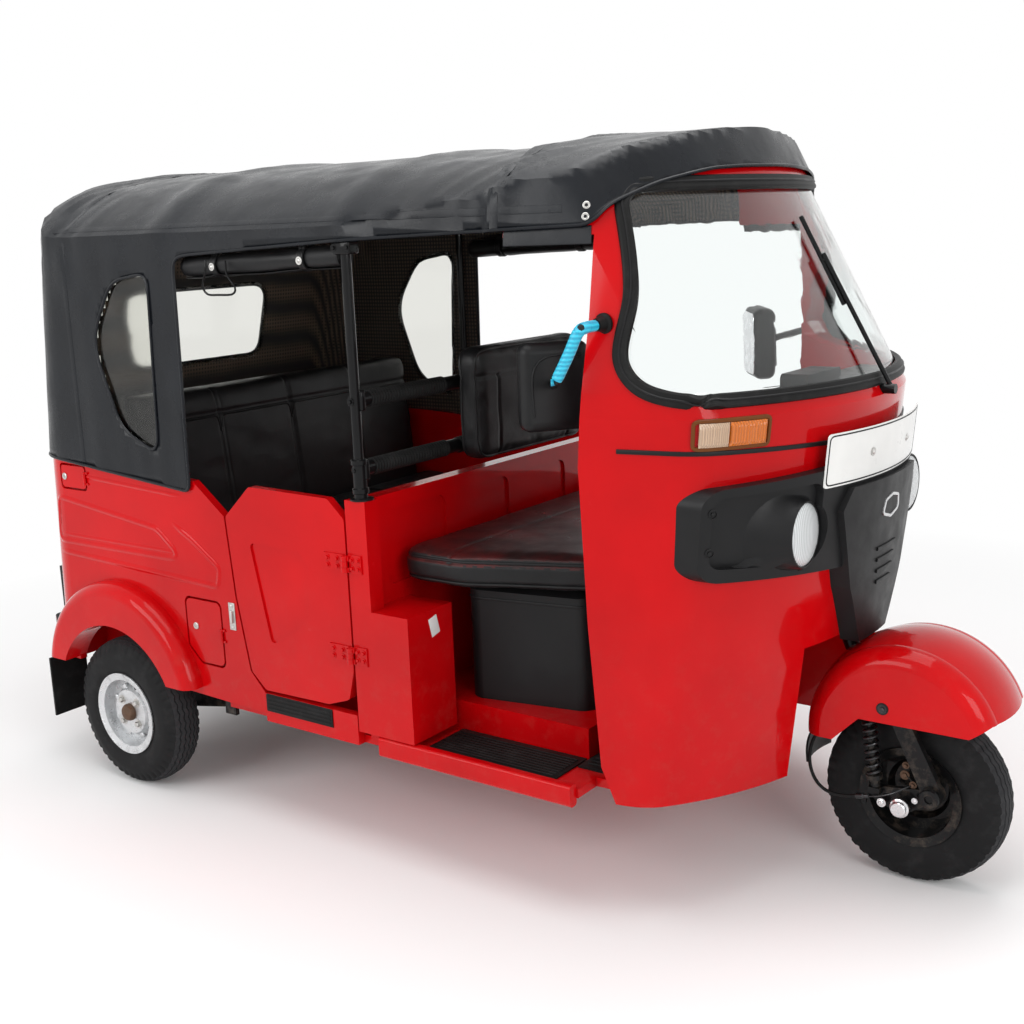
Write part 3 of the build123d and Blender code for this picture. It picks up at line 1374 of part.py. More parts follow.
def door_left():
    """Door panel with a sunk middle and its hinge leaves, hung on its front edge."""
    front = DOOR_FRONT_X
    *rear_edge, (foot_x, _) = quarter_edge(SHUT_GAP)[1:]
    points = [
        *rear_edge,
        (foot_x, SILL_Z + 63.0),
        (front - 88.0, SILL_Z + 67.0),
        (front - 20.0, SILL_Z + 90.0),
        (front, 470.0),
        (front, 838.0),
        (front - 50.0, BELT_Z - 2.0),
        (front - 312.0, BELT_Z + 3.0),
    ]
    door = side_prism(points, BODY_HALF - WALL, BODY_HALF, 16.0)
    recess = [
        (front - 325.0, 747.0),
        (front - 154.0, 742.0),
        (front - 126.0, 703.0),
        (front - 137.0, 586.0),
        (front - 173.0, 547.0),
        (front - 272.0, 492.0),
    ]
    door -= side_prism(recess, BODY_HALF - 5.0, BODY_HALF + 1.0, 12.0)
    for z in HINGE_Z:
        knuckle = (z - KNUCKLE_H / 2, z + KNUCKLE_H / 2)
        across = (BODY_HALF - 1.0, BODY_HALF + LEAF_T)
        door += block((HINGE_X - 72.0, HINGE_X - 9.0), across, (z - 20.0, z + 20.0))
        door += block((HINGE_X - 14.0, HINGE_X), (BODY_HALF, HINGE_PIN_Y), knuckle)
        door += on_pin(knuckle, KNUCKLE_R)
        door -= on_pin((z - 40.0, z + 40.0), HINGE_PIN_R + RUNNING_FIT)
    return door


def on_pin(heights, radius):
    """A round piece on the left door's hinge line."""
    low, high = heights
    return rod((HINGE_X, HINGE_PIN_Y, low), (HINGE_X, HINGE_PIN_Y, high), radius)


def door_hinges():
    """Body leaves with their outer knuckles and pins."""
    hinges = None
    for z in HINGE_Z:
        leaf = block(
            (HINGE_X + 8.0, HINGE_X + 46.0), (BODY_HALF - 1.0, BODY_HALF + LEAF_T), (z - 22.0, z + 22.0)
        )
        near, far = KNUCKLE_H / 2 + KNUCKLE_GAP, KNUCKLE_H / 2 + KNUCKLE_GAP + EAR_H
        for ear in ((z + near, z + far), (z - far, z - near)):
            leaf += on_pin(ear, KNUCKLE_R)
            leaf += block((HINGE_X, HINGE_X + 12.0), (BODY_HALF, HINGE_PIN_Y), ear)
        leaf += on_pin((z - far + 0.5, z + far - 0.5), HINGE_PIN_R)
        hinges = leaf if hinges is None else hinges + leaf
    return hinges


# ---- Brake cable -------------------------------------------------------------------------
CABLE_R = 4.0
# Route from the link's bracket down and round behind the wheel and up to the crown.
CABLE_POINTS = [
    (FRONT_X - 88.0, -110.0, 214.0),
    (FRONT_X - 140.0, -112.0, 200.0),
    (FRONT_X - 192.0, -108.0, 212.0),
    (FRONT_X - 222.0, -94.0, 256.0),
    (FRONT_X - 222.0, -76.0, 310.0),
    (FRONT_X - 190.0, -60.0, 356.0),
    (FRONT_X - 165.0, -46.0, 408.0),
    (FRONT_X - 150.0, -30.4, 460.0),
]


def brake_cable():
    """Round cable along its route, its bends eased."""
    points = [Vector(*p) for p in CABLE_POINTS]
    radii = []
    for before, point, after in zip(points, points[1:], points[2:]):
        first, second = point - before, after - point
        turn = radians(first.get_angle(second))
        radii.append(0.45 * min(first.length, second.length) / tan(turn / 2))
    path = FilletPolyline(*points, radius=radii)
    section = Plane(origin=points[0], z_dir=points[1] - points[0]) * Circle(CABLE_R)
    return sweep(section, path=path)


# ---- Assembly ----------------------------------------------------------------------------
PARTS = {
    "front_shell": front_shell,
    "windscreen": windscreen,
    "lamp_fascia": lamp_fascia,
    "headlamps": headlamps,
    "signal_lamps": signal_lamps,
    "number_plate": number_plate,
    "rear_body": rear_body,
    "rear_fenders": rear_fenders,
    "mud_flaps": mud_flaps,
    "rear_bumper": rear_bumper,
    "canopy": canopy,
    "window_panes": window_panes,
    "canopy_frame": canopy_frame,
    "rolled_curtains": rolled_curtains,
    "floor_pan": floor_pan,
    "bulkhead": bulkhead,
    "chassis": chassis,
    "steering_head": steering_head,
    "rear_suspension": rear_suspension,
    "engine": engine,
    "seat_box": seat_box,
    "driver_cushion": driver_cushion,
    "driver_backrest": driver_backrest,
    "bench_cushion": bench_cushion,
    "bench_back": bench_back,
    "floor_mat": floor_mat,
    "dash_panel": dash_panel,
    "mirrors": mirrors,
    "wiper": wiper,
    "handlebar": handlebar,
    "fork": fork,
    "front_shock": front_shock,
    "front_fender": front_fender,
    "brake_cable": brake_cable,
    "front_tyre": lambda: tyre(FRONT_X, 0),
    "front_rim": lambda: rim(FRONT_X, 0, 1),
    "rear_tyre_left": lambda: tyre(REAR_X, REAR_WHEEL_Y),
    "rear_rim_left": lambda: rim(REAR_X, REAR_WHEEL_Y, 1),
    "rear_tyre_right": lambda: tyre(REAR_X, -REAR_WHEEL_Y),
    "rear_rim_right": lambda: rim(REAR_X, -REAR_WHEEL_Y, -1),
    "door_left": door_left,
    "door_right": lambda: other_side(door_left()),
    "engine_lid": engine_lid,
    "side_hatch": side_hatch,
    "filler_flap": filler_flap,
}

os.makedirs("parts", exist_ok=True)
for name, make in PARTS.items():
    export_step(make(), f"parts/{name}.step")
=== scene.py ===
"""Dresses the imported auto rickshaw: materials, fabric, seats, lamps, running gear and fittings."""

import math

import bmesh
import bpy
from mathutils import Matrix, Vector, noise
from mathutils.bvhtree import BVHTree


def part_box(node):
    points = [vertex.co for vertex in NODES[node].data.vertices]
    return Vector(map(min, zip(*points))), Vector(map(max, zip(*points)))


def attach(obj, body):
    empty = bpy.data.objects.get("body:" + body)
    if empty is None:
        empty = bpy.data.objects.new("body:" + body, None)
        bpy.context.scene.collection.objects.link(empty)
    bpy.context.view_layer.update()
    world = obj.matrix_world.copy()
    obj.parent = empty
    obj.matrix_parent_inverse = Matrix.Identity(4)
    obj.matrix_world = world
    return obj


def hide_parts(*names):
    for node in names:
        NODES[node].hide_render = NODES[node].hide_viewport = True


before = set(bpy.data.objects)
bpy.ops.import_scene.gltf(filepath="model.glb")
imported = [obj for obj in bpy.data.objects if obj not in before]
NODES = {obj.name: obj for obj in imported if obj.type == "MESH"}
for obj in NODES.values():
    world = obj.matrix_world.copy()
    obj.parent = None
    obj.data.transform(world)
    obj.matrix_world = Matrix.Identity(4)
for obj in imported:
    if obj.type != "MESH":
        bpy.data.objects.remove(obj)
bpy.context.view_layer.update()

# ---- Main places, in metres, as in the frame -----------------------------------------------
FRONT_X = 1.1075
REAR_X = -0.8925
AXLE_Z = 0.2075
TYRE_R = 0.2075
TYRE_HALF = 0.053
REAR_TRACK = 1.150
PILLAR_X = FRONT_X - 0.530
SHELL_ROOF_X = FRONT_X - 0.700
ROOF_TOP = 1.675
BELT_Z = 0.885
SILL_Z = 0.305
POLE_X = 0.0025
RAKE = math.radians(22.7)
AXIS_PASS_X = FRONT_X - 0.180
AXIS_PASS_Z = 0.570


def on_axis(height):
    """Point of the steering axis at a height."""
    return Vector((AXIS_PASS_X - (height - AXIS_PASS_Z) * math.tan(RAKE), 0, height))


# ---- Material helpers ------------------------------------------------------------------------
def add(tree, kind, inputs=None, **props):
    """A shader node with its inputs set to values or linked from sockets."""
    node = tree.nodes.new(kind)
    for key, value in props.items():
        setattr(node, key, value)
    for key, value in (inputs or {}).items():
        if isinstance(value, bpy.types.NodeSocket):
            tree.links.new(value, node.inputs[key])
        else:
            node.inputs[key].default_value = value
    return node


class Look:
    """A Principled material with helpers for its colour, roughness and bump."""

    def __init__(self, name, color, rough=0.5, metallic=0.0, **shader):
        self.mat = bpy.data.materials.new(name)
        self.mat.use_nodes = True
        self.tree = self.mat.node_tree
        self.bsdf = self.tree.nodes["Principled BSDF"]
        self.color = (*color, 1.0)
        self.set("Base Color", self.color)
        self.set("Roughness", rough)
        self.set("Metallic", metallic)
        for key, value in shader.items():
            self.set(key.replace("_", " "), value)
        coords = add(self.tree, "ShaderNodeTexCoord")
        self.place = coords.outputs["Object"]
        self.normal = None

    def set(self, key, value):
        if isinstance(value, bpy.types.NodeSocket):
            self.tree.links.new(value, self.bsdf.inputs[key])
        else:
            self.bsdf.inputs[key].default_value = value

    def noise(self, scale, detail=4.0, rough=0.55):
        inputs = {"Vector": self.place, "Scale": scale, "Detail": detail, "Roughness": rough}
        return add(self.tree, "ShaderNodeTexNoise", inputs).outputs["Fac"]

    def cells(self, scale, feature="F1"):
        inputs = {"Vector": self.place, "Scale": scale}
        return add(self.tree, "ShaderNodeTexVoronoi", inputs, feature=feature).outputs["Distance"]

    def wave(self, scale, direction="X", distort=0.0):
        inputs = {"Vector": self.place, "Scale": scale, "Distortion": distort}
        return add(self.tree, "ShaderNodeTexWave", inputs, bands_direction=direction).outputs["Fac"]

    def fit(self, value, low, high, to_low=0.0, to_high=1.0):
        """A value mapped from one range to another, clamped."""
        inputs = {"Value": value, "From Min": low, "From Max": high, "To Min": to_low, "To Max": to_high}
        return add(self.tree, "ShaderNodeMapRange", inputs).outputs["Result"]

    def mix(self, factor, first, second):
        """A colour between two colours."""
        node = add(self.tree, "ShaderNodeMix", {0: factor}, data_type="RGBA")
        for index, value in ((6, first), (7, second)):
            if isinstance(value, bpy.types.NodeSocket):
                self.tree.links.new(value, node.inputs[index])
            else:
                node.inputs[index].default_value = (*value[:3], 1.0)
        return node.outputs[2]

    def maths(self, operation, first, second):
        node = add(self.tree, "ShaderNodeMath", {0: first, 1: second}, operation=operation)
        return node.outputs[0]

    def height(self):
        node = add(self.tree, "ShaderNodeSeparateXYZ", {"Vector": self.place})
        return node.outputs["Z"]

    def bump(self, value, distance, strength=1.0):
        inputs = {"Height": value, "Distance": distance, "Strength": strength}
        if self.normal is not None:
            inputs["Normal"] = self.normal
        node = add(self.tree, "ShaderNodeBump", inputs)
        self.normal = node.outputs["Normal"]
        self.set("Normal", self.normal)
        return self


def paint(name, color, rough=0.2, dust=0.25):
    """Enamel with a clear gloss coat, faint waviness and road dust low down."""
    coat = {"Coat_Weight": 0.7, "Coat_Roughness": 0.05, "Coat_IOR": 1.28}
    look = Look(name, color, rough, **coat, Specular_IOR_Level=0.05)
    patches = look.noise(3.0, 5.0)
    deep = [c * 0.78 for c in color]
    base = look.mix(look.fit(patches, 0.3, 0.7), color, deep)
    low = look.fit(look.height(), 0.75, 0.25)
    grime = look.maths("MULTIPLY", look.fit(look.noise(26.0, 8.0, 0.7), 0.5, 0.8), low)
    base = look.mix(look.maths("MULTIPLY", grime, dust), base, (0.22, 0.17, 0.13))
    look.set("Base Color", base)
    look.set("Roughness", look.fit(look.noise(14.0, 6.0), 0.3, 0.75, rough - 0.06, rough + 0.12))
    look.bump(look.noise(2.4, 2.0), 0.004, 0.25)
    look.bump(look.noise(420.0, 2.0), 0.00012, 0.35)
    return look


def moulding(name, color, rough=0.42):
    """Dark moulded plastic with a fine grain."""
    look = Look(name, color, rough, Specular_IOR_Level=0.22)
    grey = [c * 2.2 for c in color]
    look.set("Base Color", look.mix(look.fit(look.noise(9.0, 6.0), 0.4, 0.9, 0.0, 0.36), color, grey))
    look.set("Roughness", look.fit(look.noise(18.0, 5.0), 0.3, 0.7, rough - 0.08, rough + 0.1))
    look.bump(look.cells(900.0), 0.00015, 0.6)
    return look


def vinyl(name, color, sheen, rough=0.42, grain=520.0, depth=0.0003):
    """Coated fabric or seat vinyl: leathery cells, soft creases and a dusty bloom."""
    look = Look(name, color, rough, Coat_Weight=0.05, Coat_Roughness=0.2, Specular_IOR_Level=0.22)
    look.set("Coat Roughness", 0.3)
    bloom = look.fit(look.noise(5.0, 7.0, 0.65), 0.42, 0.85)
    look.set("Base Color", look.mix(bloom, color, sheen))
    look.set("Roughness", look.fit(look.noise(11.0, 5.0), 0.3, 0.75, rough - 0.1, rough + 0.14))
    look.bump(look.noise(16.0, 5.0, 0.6), 0.003, 0.35)
    look.bump(look.cells(grain, "DISTANCE_TO_EDGE"), depth, 0.7)
    return look


def metal(name, color, rough=0.35, metallic=1.0, grime=0.3, rust=None):
    look = Look(name, color, rough, metallic)
    dirt = look.fit(look.noise(30.0, 8.0, 0.7), 0.5, 0.78)
    base = look.mix(look.maths("MULTIPLY", dirt, grime), color, (0.05, 0.045, 0.04))
    if rust:
        base = look.mix(look.fit(look.noise(75.0, 6.0), 0.6, 0.7), base, rust)
    look.set("Base Color", base)
    look.set("Roughness", look.fit(look.noise(50.0, 5.0), 0.3, 0.7, rough - 0.1, rough + 0.18))
    look.bump(look.noise(300.0, 3.0), 0.0002, 0.4)
    return look


def clear(name, color, rough=0.02, ior=1.45, ribs=None):
    """Glass or clear plastic."""
    look = Look(name, color, rough, Transmission_Weight=1.0, IOR=ior, Specular_IOR_Level=0.5)
    look.set("Roughness", look.fit(look.noise(14.0, 7.0, 0.7), 0.55, 0.85, rough, rough + 0.08))
    if ribs:
        look.bump(look.wave(ribs, "Y"), 0.0015, 0.7)
    else:
        look.bump(look.noise(5.0, 2.0), 0.0004, 0.3)
    return look


# ---- Materials ---------------------------------------------------------------------------------
red = paint("red_enamel", (0.56, 0.0015, 0.0035), 0.16, 0.12).mat
black_paint = paint("black_enamel", (0.007, 0.007, 0.0075), 0.32, 0.4).mat
silver_paint = metal("silver_enamel", (0.62, 0.63, 0.64), 0.3, 0.75, 0.55).mat
white_paint = paint("plate_enamel", (0.86, 0.86, 0.84), 0.3, 0.1).mat
satin_black = moulding("satin_black_moulding", (0.0065, 0.0065, 0.007)).mat
seat_vinyl = vinyl("seat_vinyl", (0.006, 0.006, 0.0065), (0.014, 0.014, 0.015)).mat
# Painted sheen: a dark red tint with lighter red patches stands for the shine on top of the driver's black
# cushion.
sheen_painted_vinyl = vinyl("sheen_painted_vinyl", (0.02, 0.008, 0.008), (0.16, 0.012, 0.012), 0.34).mat
canopy_vinyl = vinyl(
    "canopy_vinyl", (0.0034, 0.0044, 0.0066), (0.0075, 0.0095, 0.013), 0.30, 900.0, 0.0002
).mat
zinc = metal("zinc_plate", (0.55, 0.54, 0.52), 0.32).mat
steel = metal("bright_steel", (0.66, 0.66, 0.67), 0.22, 1.0, 0.2).mat
chrome = metal("reflector_chrome", (0.93, 0.93, 0.95), 0.28, 0.8, 0.0).mat
cast = metal("cast_alloy", (0.42, 0.41, 0.39), 0.55, 1.0, 0.7, (0.16, 0.07, 0.03)).mat
glass = clear("laminated_glass", (0.93, 0.97, 0.96)).mat


def coloured_lens(name, color, ribs):
    """A ribbed plastic lens, mostly opaque, in two close shades of its colour."""
    look = Look(name, color, 0.14, Transmission_Weight=0.25, Coat_Weight=0.5, Coat_Roughness=0.04)
    deep = [c * 0.72 for c in color]
    look.set("Base Color", look.mix(look.wave(ribs, "Y"), color, deep))
    look.bump(look.wave(ribs, "Y"), 0.001, 0.6)
    return look.mat


amber = coloured_lens("amber_lens", (0.80, 0.19, 0.002), 60.0)
indicator_clear = coloured_lens("indicator_clear", (0.72, 0.50, 0.34), 90.0)
lamp_glass = coloured_lens("lamp_glass", (0.86, 0.89, 0.90), 46.0)
amber_rim = paint("indicator_base", (0.16, 0.05, 0.01), 0.3, 0.1).mat
ruby = clear("ruby_lens", (0.75, 0.01, 0.01), 0.06, 1.49, 120.0).mat
clear_sheet = clear("clear_vinyl_sheet", (0.80, 0.80, 0.76), 0.1, 1.3).mat


def rubber_look(name, color, rough=0.62):
    look = Look(name, color, rough, Specular_IOR_Level=0.16)
    dust = look.fit(look.noise(22.0, 8.0, 0.7), 0.5, 0.85)
    look.set("Base Color", look.mix(dust, color, [c + 0.016 for c in color]))
    look.bump(look.noise(180.0, 4.0), 0.0003, 0.5)
    return look.mat


tyre_rubber = rubber_look("tyre_rubber", (0.007, 0.007, 0.0075))
soft_rubber = rubber_look("soft_rubber", (0.006, 0.006, 0.006), 0.5)
tread_rubber = rubber_look("tread_rubber", (0.028, 0.028, 0.03), 0.75)


def woven_look():
    """Lining cloth inside the hood: a coarse brown and black basket weave."""
    look = Look("woven_lining", (0.03, 0.024, 0.018), 0.8, Sheen_Weight=0.2)
    along = look.wave(27.0, "X")
    across = look.wave(27.0, "Z")
    sideways = look.wave(27.0, "Y")
    knots = look.maths("MULTIPLY", along, look.maths("MAXIMUM", across, sideways))
    look.set("Base Color", look.mix(knots, (0.008, 0.007, 0.006), (0.12, 0.085, 0.055)))
    look.bump(knots, 0.0012, 0.8)
    return look.mat


lining = woven_look()


def tape_look():
    look = Look("cyan_tape", (0.004, 0.36, 0.68), 0.4, Coat_Weight=0.2)
    turns = look.wave(34.0, "Z", 2.0)
    look.set("Base Color", look.mix(turns, (0.008, 0.33, 0.52), (0.03, 0.56, 0.76)))
    look.bump(turns, 0.0012, 0.8)
    return look.mat


cyan_tape = tape_look()


# ---- Geometry helpers ----------------------------------------------------------------------------
SHARP_FROM = math.radians(32)


def placed(name, data):
    """A new object for its data, linked to the scene."""
    thing = bpy.data.objects.new(name, data)
    bpy.context.scene.collection.objects.link(thing)
    return thing


def shade_smooth(mesh):
    mesh.polygons.foreach_set("use_smooth", [True] * len(mesh.polygons))


def side_name(side):
    return "left" if side > 0 else "right"


def finish_mesh(name, bm, material, body, smooth=True, replaces=()):
    """Turns a bmesh into a shown piece that rides on a body."""
    mesh = bpy.data.meshes.new(name)
    bmesh.ops.recalc_face_normals(bm, faces=bm.faces)
    bm.to_mesh(mesh)
    bm.free()
    piece = placed(name, mesh)
    materials = material if isinstance(material, (list, tuple)) else [material]
    for item in materials:
        mesh.materials.append(item)
    if smooth:
        shade_smooth(mesh)
        mesh.set_sharp_from_angle(angle=SHARP_FROM)
    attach(piece, body)
    if replaces:
        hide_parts(*replaces)
    return piece


def modify(piece, kind, **settings):
    modifier = piece.modifiers.new(kind.title(), kind)
    for key, value in settings.items():
        setattr(modifier, key, value)
    return modifier


def apply_modifiers(piece):
    """Bakes a piece's modifiers into its mesh."""
    graph = bpy.context.evaluated_depsgraph_get()
    mesh = bpy.data.meshes.new_from_object(piece.evaluated_get(graph))
    materials = list(piece.data.materials)
    old = piece.data
    piece.modifiers.clear()
    piece.data = mesh
    if not len(mesh.materials):
        for item in materials:
            mesh.materials.append(item)
    bpy.data.meshes.remove(old)
    return piece


def thicken(sheet, thickness, offset=0.0, **settings):
    """Gives a sheet its thickness and shades it smooth."""
    modify(sheet, "SOLIDIFY", thickness=thickness, offset=offset, **settings)
    apply_modifiers(sheet)
    shade_smooth(sheet.data)


def turned(direction):
    """Rotation that takes +Z to a direction."""
    return Vector(direction).to_track_quat("Z", "Y").to_matrix().to_4x4()


def lathe(bm, rows, centre, direction, steps=64, index=0):
    """A closed or open profile of (radius, height) rows turned about a direction."""
    place = Matrix.Translation(Vector(centre)) @ turned(direction)
    rings = []
    for radius, height in rows:
        if radius < 1e-6:
            rings.append([bm.verts.new(place @ Vector((0, 0, height)))])
            continue
        ring = []
        for k in range(steps):
            angle = 2 * math.pi * k / steps
            spot = Vector((radius * math.cos(angle), radius * math.sin(angle), height))
            ring.append(bm.verts.new(place @ spot))
        rings.append(ring)
    for low, high in zip(rings, rings[1:]):
        for k in range(steps):
            n = (k + 1) % steps
            corners = []
            quad = (low[k % len(low)], low[n % len(low)], high[n % len(high)], high[k % len(high)])
            for vert in quad:
                if vert not in corners:
                    corners.append(vert)
            if len(corners) > 2:
                bm.faces.new(corners).material_index = index
    return rings


def rounded_block(bm, centre, size, round_by, place=None, segments=3, index=0):
    """A block with rounded edges, added to a bmesh; place turns it about its centre."""
    made = bmesh.ops.create_cube(bm, size=1.0)
    verts = made["verts"]
    turn = place or Matrix.Identity(4)
    for vert in verts:
        vert.co = Vector(vert.co[i] * size[i] for i in range(3))
    edges = list({edge for vert in verts for edge in vert.link_edges})
    most = 0.49 * min(size)
    shaped = bmesh.ops.bevel(
        bm, geom=edges, offset=min(round_by, most), segments=segments, affect="EDGES", profile=0.5
    )
    faces = set(shaped["faces"])
    for vert in {v for v in shaped["verts"]} | {v for v in verts if v.is_valid}:
        faces.update(vert.link_faces)
    done = {vert for face in faces for vert in face.verts}
    for vert in done:
        vert.co = turn @ vert.co + Vector(centre)
    for face in faces:
        face.material_index = index
    return done


def tube(bm, points, radius, sides=12, closed=False, index=0, flat=1.0):
    """A tube along points, with end caps unless closed; flat squeezes it across its second axis."""
    points = [Vector(p) for p in points]
    count = len(points)
    rings = []
    normal = None
    for i, point in enumerate(points):
        ahead = points[(i + 1) % count] if closed or i + 1 < count else point
        behind = points[i - 1] if closed or i > 0 else point
        along = (ahead - behind).normalized()
        if normal is None:
            normal = along.orthogonal()
        normal = (normal - along * normal.dot(along)).normalized()
        side = along.cross(normal)
        ring = []
        for k in range(sides):
            angle = 2 * math.pi * k / sides
            rise = normal * radius * flat * math.sin(angle)
            ring.append(bm.verts.new(point + rise + side * radius * math.cos(angle)))
        rings.append(ring)
    pairs = list(zip(rings, rings[1:]))
    if closed:
        first, last = rings[0], rings[-1]
        gaps = [
            sum((last[(k + turn) % sides].co - first[k].co).length for k in range(sides))
            for turn in range(sides)
        ]
        turn = gaps.index(min(gaps))
        pairs.append((last[turn:] + last[:turn], first))
    for low, high in pairs:
        for k in range(sides):
            n = (k + 1) % sides
            bm.faces.new((low[k], low[n], high[n], high[k])).material_index = index
    if not closed:
        bm.faces.new(list(reversed(rings[0]))).material_index = index
        bm.faces.new(rings[-1]).material_index = index
    return rings


def smooth_path(points, step=0.01, closed=False):
    """Points along a Catmull-Rom curve through the given ones."""
    points = [Vector(p) for p in points]
    count = len(points)
    spans = count if closed else count - 1
    out = []
    for i in range(spans):
        if closed:
            a, b, c, d = (points[(i + k) % count] for k in (-1, 0, 1, 2))
        else:
            b, c = points[i], points[i + 1]
            a = points[i - 1] if i else b * 2 - c
            d = points[i + 2] if i + 2 < count else c * 2 - b
        parts = max(1, int((c - b).length / step))
        for k in range(parts):
            t = k / parts
            out.append(
                0.5
                * (
                    2 * b
                    + (c - a) * t
                    + (2 * a - 5 * b + 4 * c - d) * t**2
                    + (3 * b - a - 3 * c + d) * t**3
                )
            )
    if not closed:
        out.append(points[-1])
    return out


def resampled(points, step, closed=True):
    """Points at even steps along a line, lightly smoothed."""
    points = [Vector(p) for p in points]
    if closed:
        points.append(points[0])
    lengths = [0.0]
    for a, b in zip(points, points[1:]):
        lengths.append(lengths[-1] + (b - a).length)
    count = max(4, int(lengths[-1] / step))
    out, k = [], 0
    for i in range(count if closed else count + 1):
        goal = lengths[-1] * i / count
        while lengths[k + 1] < goal - 1e-12 and k < len(points) - 2:
            k += 1
        span = lengths[k + 1] - lengths[k]
        out.append(points[k].lerp(points[k + 1], (goal - lengths[k]) / span if span else 0))
    for _ in range(2):
        if closed:
            out = [(out[k - 1] + out[k] * 2 + out[(k + 1) % count]) / 4 for k in range(count)]
        else:
            inner = [(a + b * 2 + c) / 4 for a, b, c in zip(out, out[1:], out[2:])]
            out = [out[0], *inner, out[-1]]
    return out


def dense_line(outline, step):
    """A closed outline in two coordinates as a smooth line with points a short step apart."""
    return [p.to_2d() for p in smooth_path([(p[0], p[1], 0) for p in outline], step, True)]


def rounded_outline(corners, radius, steps=6):
    """Closed outline in two coordinates with rounded corners; radius may be a list."""
    out = []
    count = len(corners)
    for i, corner in enumerate(corners):
        here = Vector(corner)
        before, after = Vector(corners[i - 1]), Vector(corners[(i + 1) % count])
        r = radius[i] if isinstance(radius, (list, tuple)) else radius
        to_before, to_after = (before - here).normalized(), (after - here).normalized()
        turn = to_before.angle(to_after)
        back = min(r / math.tan(turn / 2), 0.49 * (before - here).length, 0.49 * (after - here).length)
        start, end = here + to_before * back, here + to_after * back
        for k in range(steps + 1):
            t = k / steps
            out.append((1 - t) ** 2 * start + 2 * t * (1 - t) * here + t**2 * end)
    return out


def bolt(bm, centre, direction, radius=0.006, head=0.005, index=0, dome=False):
    """A washer with a hexagon or domed head, seated with its base a little into the surface."""
    washer = [(0, -0.001), (radius * 1.7, -0.001), (radius * 1.7, 0.0012), (0, 0.0012)]
    lathe(bm, washer, centre, direction, 20, index)
    top = Vector(centre) + Vector(direction).normalized() * 0.001
    if dome:
        rows = [(radius * math.cos(a), head * math.sin(a)) for a in (0, 0.4, 0.8, 1.2)]
        lathe(bm, [(0, 0), *rows, (0, head)], top, direction, 16, index)
    else:
        rows = [(0, 0), (radius, 0), (radius, head * 0.8), (radius * 0.82, head), (0, head)]
        lathe(bm, rows, top, direction, 6, index)


def node_tree(*names):
    """A search tree over CAD nodes, for laying pieces on their surfaces."""
    bm = bmesh.new()
    for name in names:
        bm.from_mesh(NODES[name].data)
    tree = BVHTree.FromBMesh(bm)
    bm.free()
    return tree


def tree_of(piece):
    """A search tree over a piece of this scene."""
    faces = [list(face.vertices) for face in piece.data.polygons]
    return BVHTree.FromPolygons([vert.co for vert in piece.data.vertices], faces)


def lay(tree, start, direction, lift=0.0):
    """The first point of a surface along a ray, lifted along its normal, and that normal."""
    direction = Vector(direction).normalized()
    spot, normal, _, _ = tree.ray_cast(Vector(start), direction)
    if spot is None:
        return None, None
    if normal.dot(direction) > 0:
        normal = -normal
    return spot + normal * lift, normal


def lay_front(tree, y, z):
    """The surface point seen from straight ahead at (y, z), and its normal."""
    return lay(tree, (1.6, y, z), (-1, 0, 0))


def lay_side(tree, x, z, side, lift=0.0):
    """The surface point seen from straight beside at (x, z), and its normal."""
    return lay(tree, (x, side * 1.0, z), (0, -side, 0), lift)


def ribbon(bm, spots, normals, half, thick, closed=False, index=0):
    """A flat band with rounded edges laid along points with their surface normals."""
    count = len(spots)
    rings = []
    for i, (spot, normal) in enumerate(zip(spots, normals)):
        ahead = spots[(i + 1) % count] if closed or i + 1 < count else spot
        behind = spots[i - 1] if closed or i > 0 else spot
        side = (ahead - behind).normalized().cross(normal).normalized()
        rows = ((-1, 0), (-0.93, 0.8), (-0.7, 1), (0.7, 1), (0.93, 0.8), (1, 0))
        rings.append([bm.verts.new(spot + side * half * a + normal * thick * b) for a, b in rows])
    pairs = list(zip(rings, rings[1:]))
    if closed:
        pairs.append((rings[-1], rings[0]))
    for low, high in pairs:
        for k in range(6):
            n = (k + 1) % 6
            bm.faces.new((low[k], low[n], high[n], high[k])).material_index = index
    if not closed:
        bm.faces.new(list(reversed(rings[0]))).material_index = index
        bm.faces.new(rings[-1]).material_index = index
    return rings


# ---- Camera --------------------------------------------------------------------------------------
def set_camera():
    """The view of the finished picture: ahead and to the right, looking a little down."""
    turn, pitch, roll = math.radians(36.509), math.radians(12.316), math.radians(-2.2456)
    look = Vector(
        (-math.sin(turn) * math.cos(pitch), math.cos(turn) * math.cos(pitch), -math.sin(pitch))
    )
    across = Vector((math.cos(turn), math.sin(turn), 0))
    up = across.cross(look)
    x_axis = across * math.cos(roll) + up * math.sin(roll)
    y_axis = -across * math.sin(roll) + up * math.cos(roll)
    camera = placed("camera", bpy.data.cameras.new("camera"))
    turned_by = Matrix((x_axis, y_axis, -look)).transposed().to_4x4()
    camera.matrix_world = Matrix.Translation((2.04, -2.7562, 1.4892)) @ turned_by
    camera.data.lens = 46.41
    camera.data.sensor_width = 36.0
    bpy.context.scene.camera = camera
    bpy.context.scene.view_settings.view_transform = "Standard"


set_camera()


# ---- Brake cable ---------------------------------------------------------------------------------
# Part.py's route from the front axle, in metres: ahead of it, left of middle, and height.
CABLE_ROUTE = [
    (-0.088, -0.110, 0.214),
    (-0.140, -0.112, 0.200),
    (-0.192, -0.108, 0.212),
    (-0.222, -0.094, 0.256),
    (-0.222, -0.076, 0.310),
    (-0.190, -0.060, 0.356),
    (-0.165, -0.046, 0.408),
    (-0.150, -0.0304, 0.460),
]
CABLE_R = 0.004


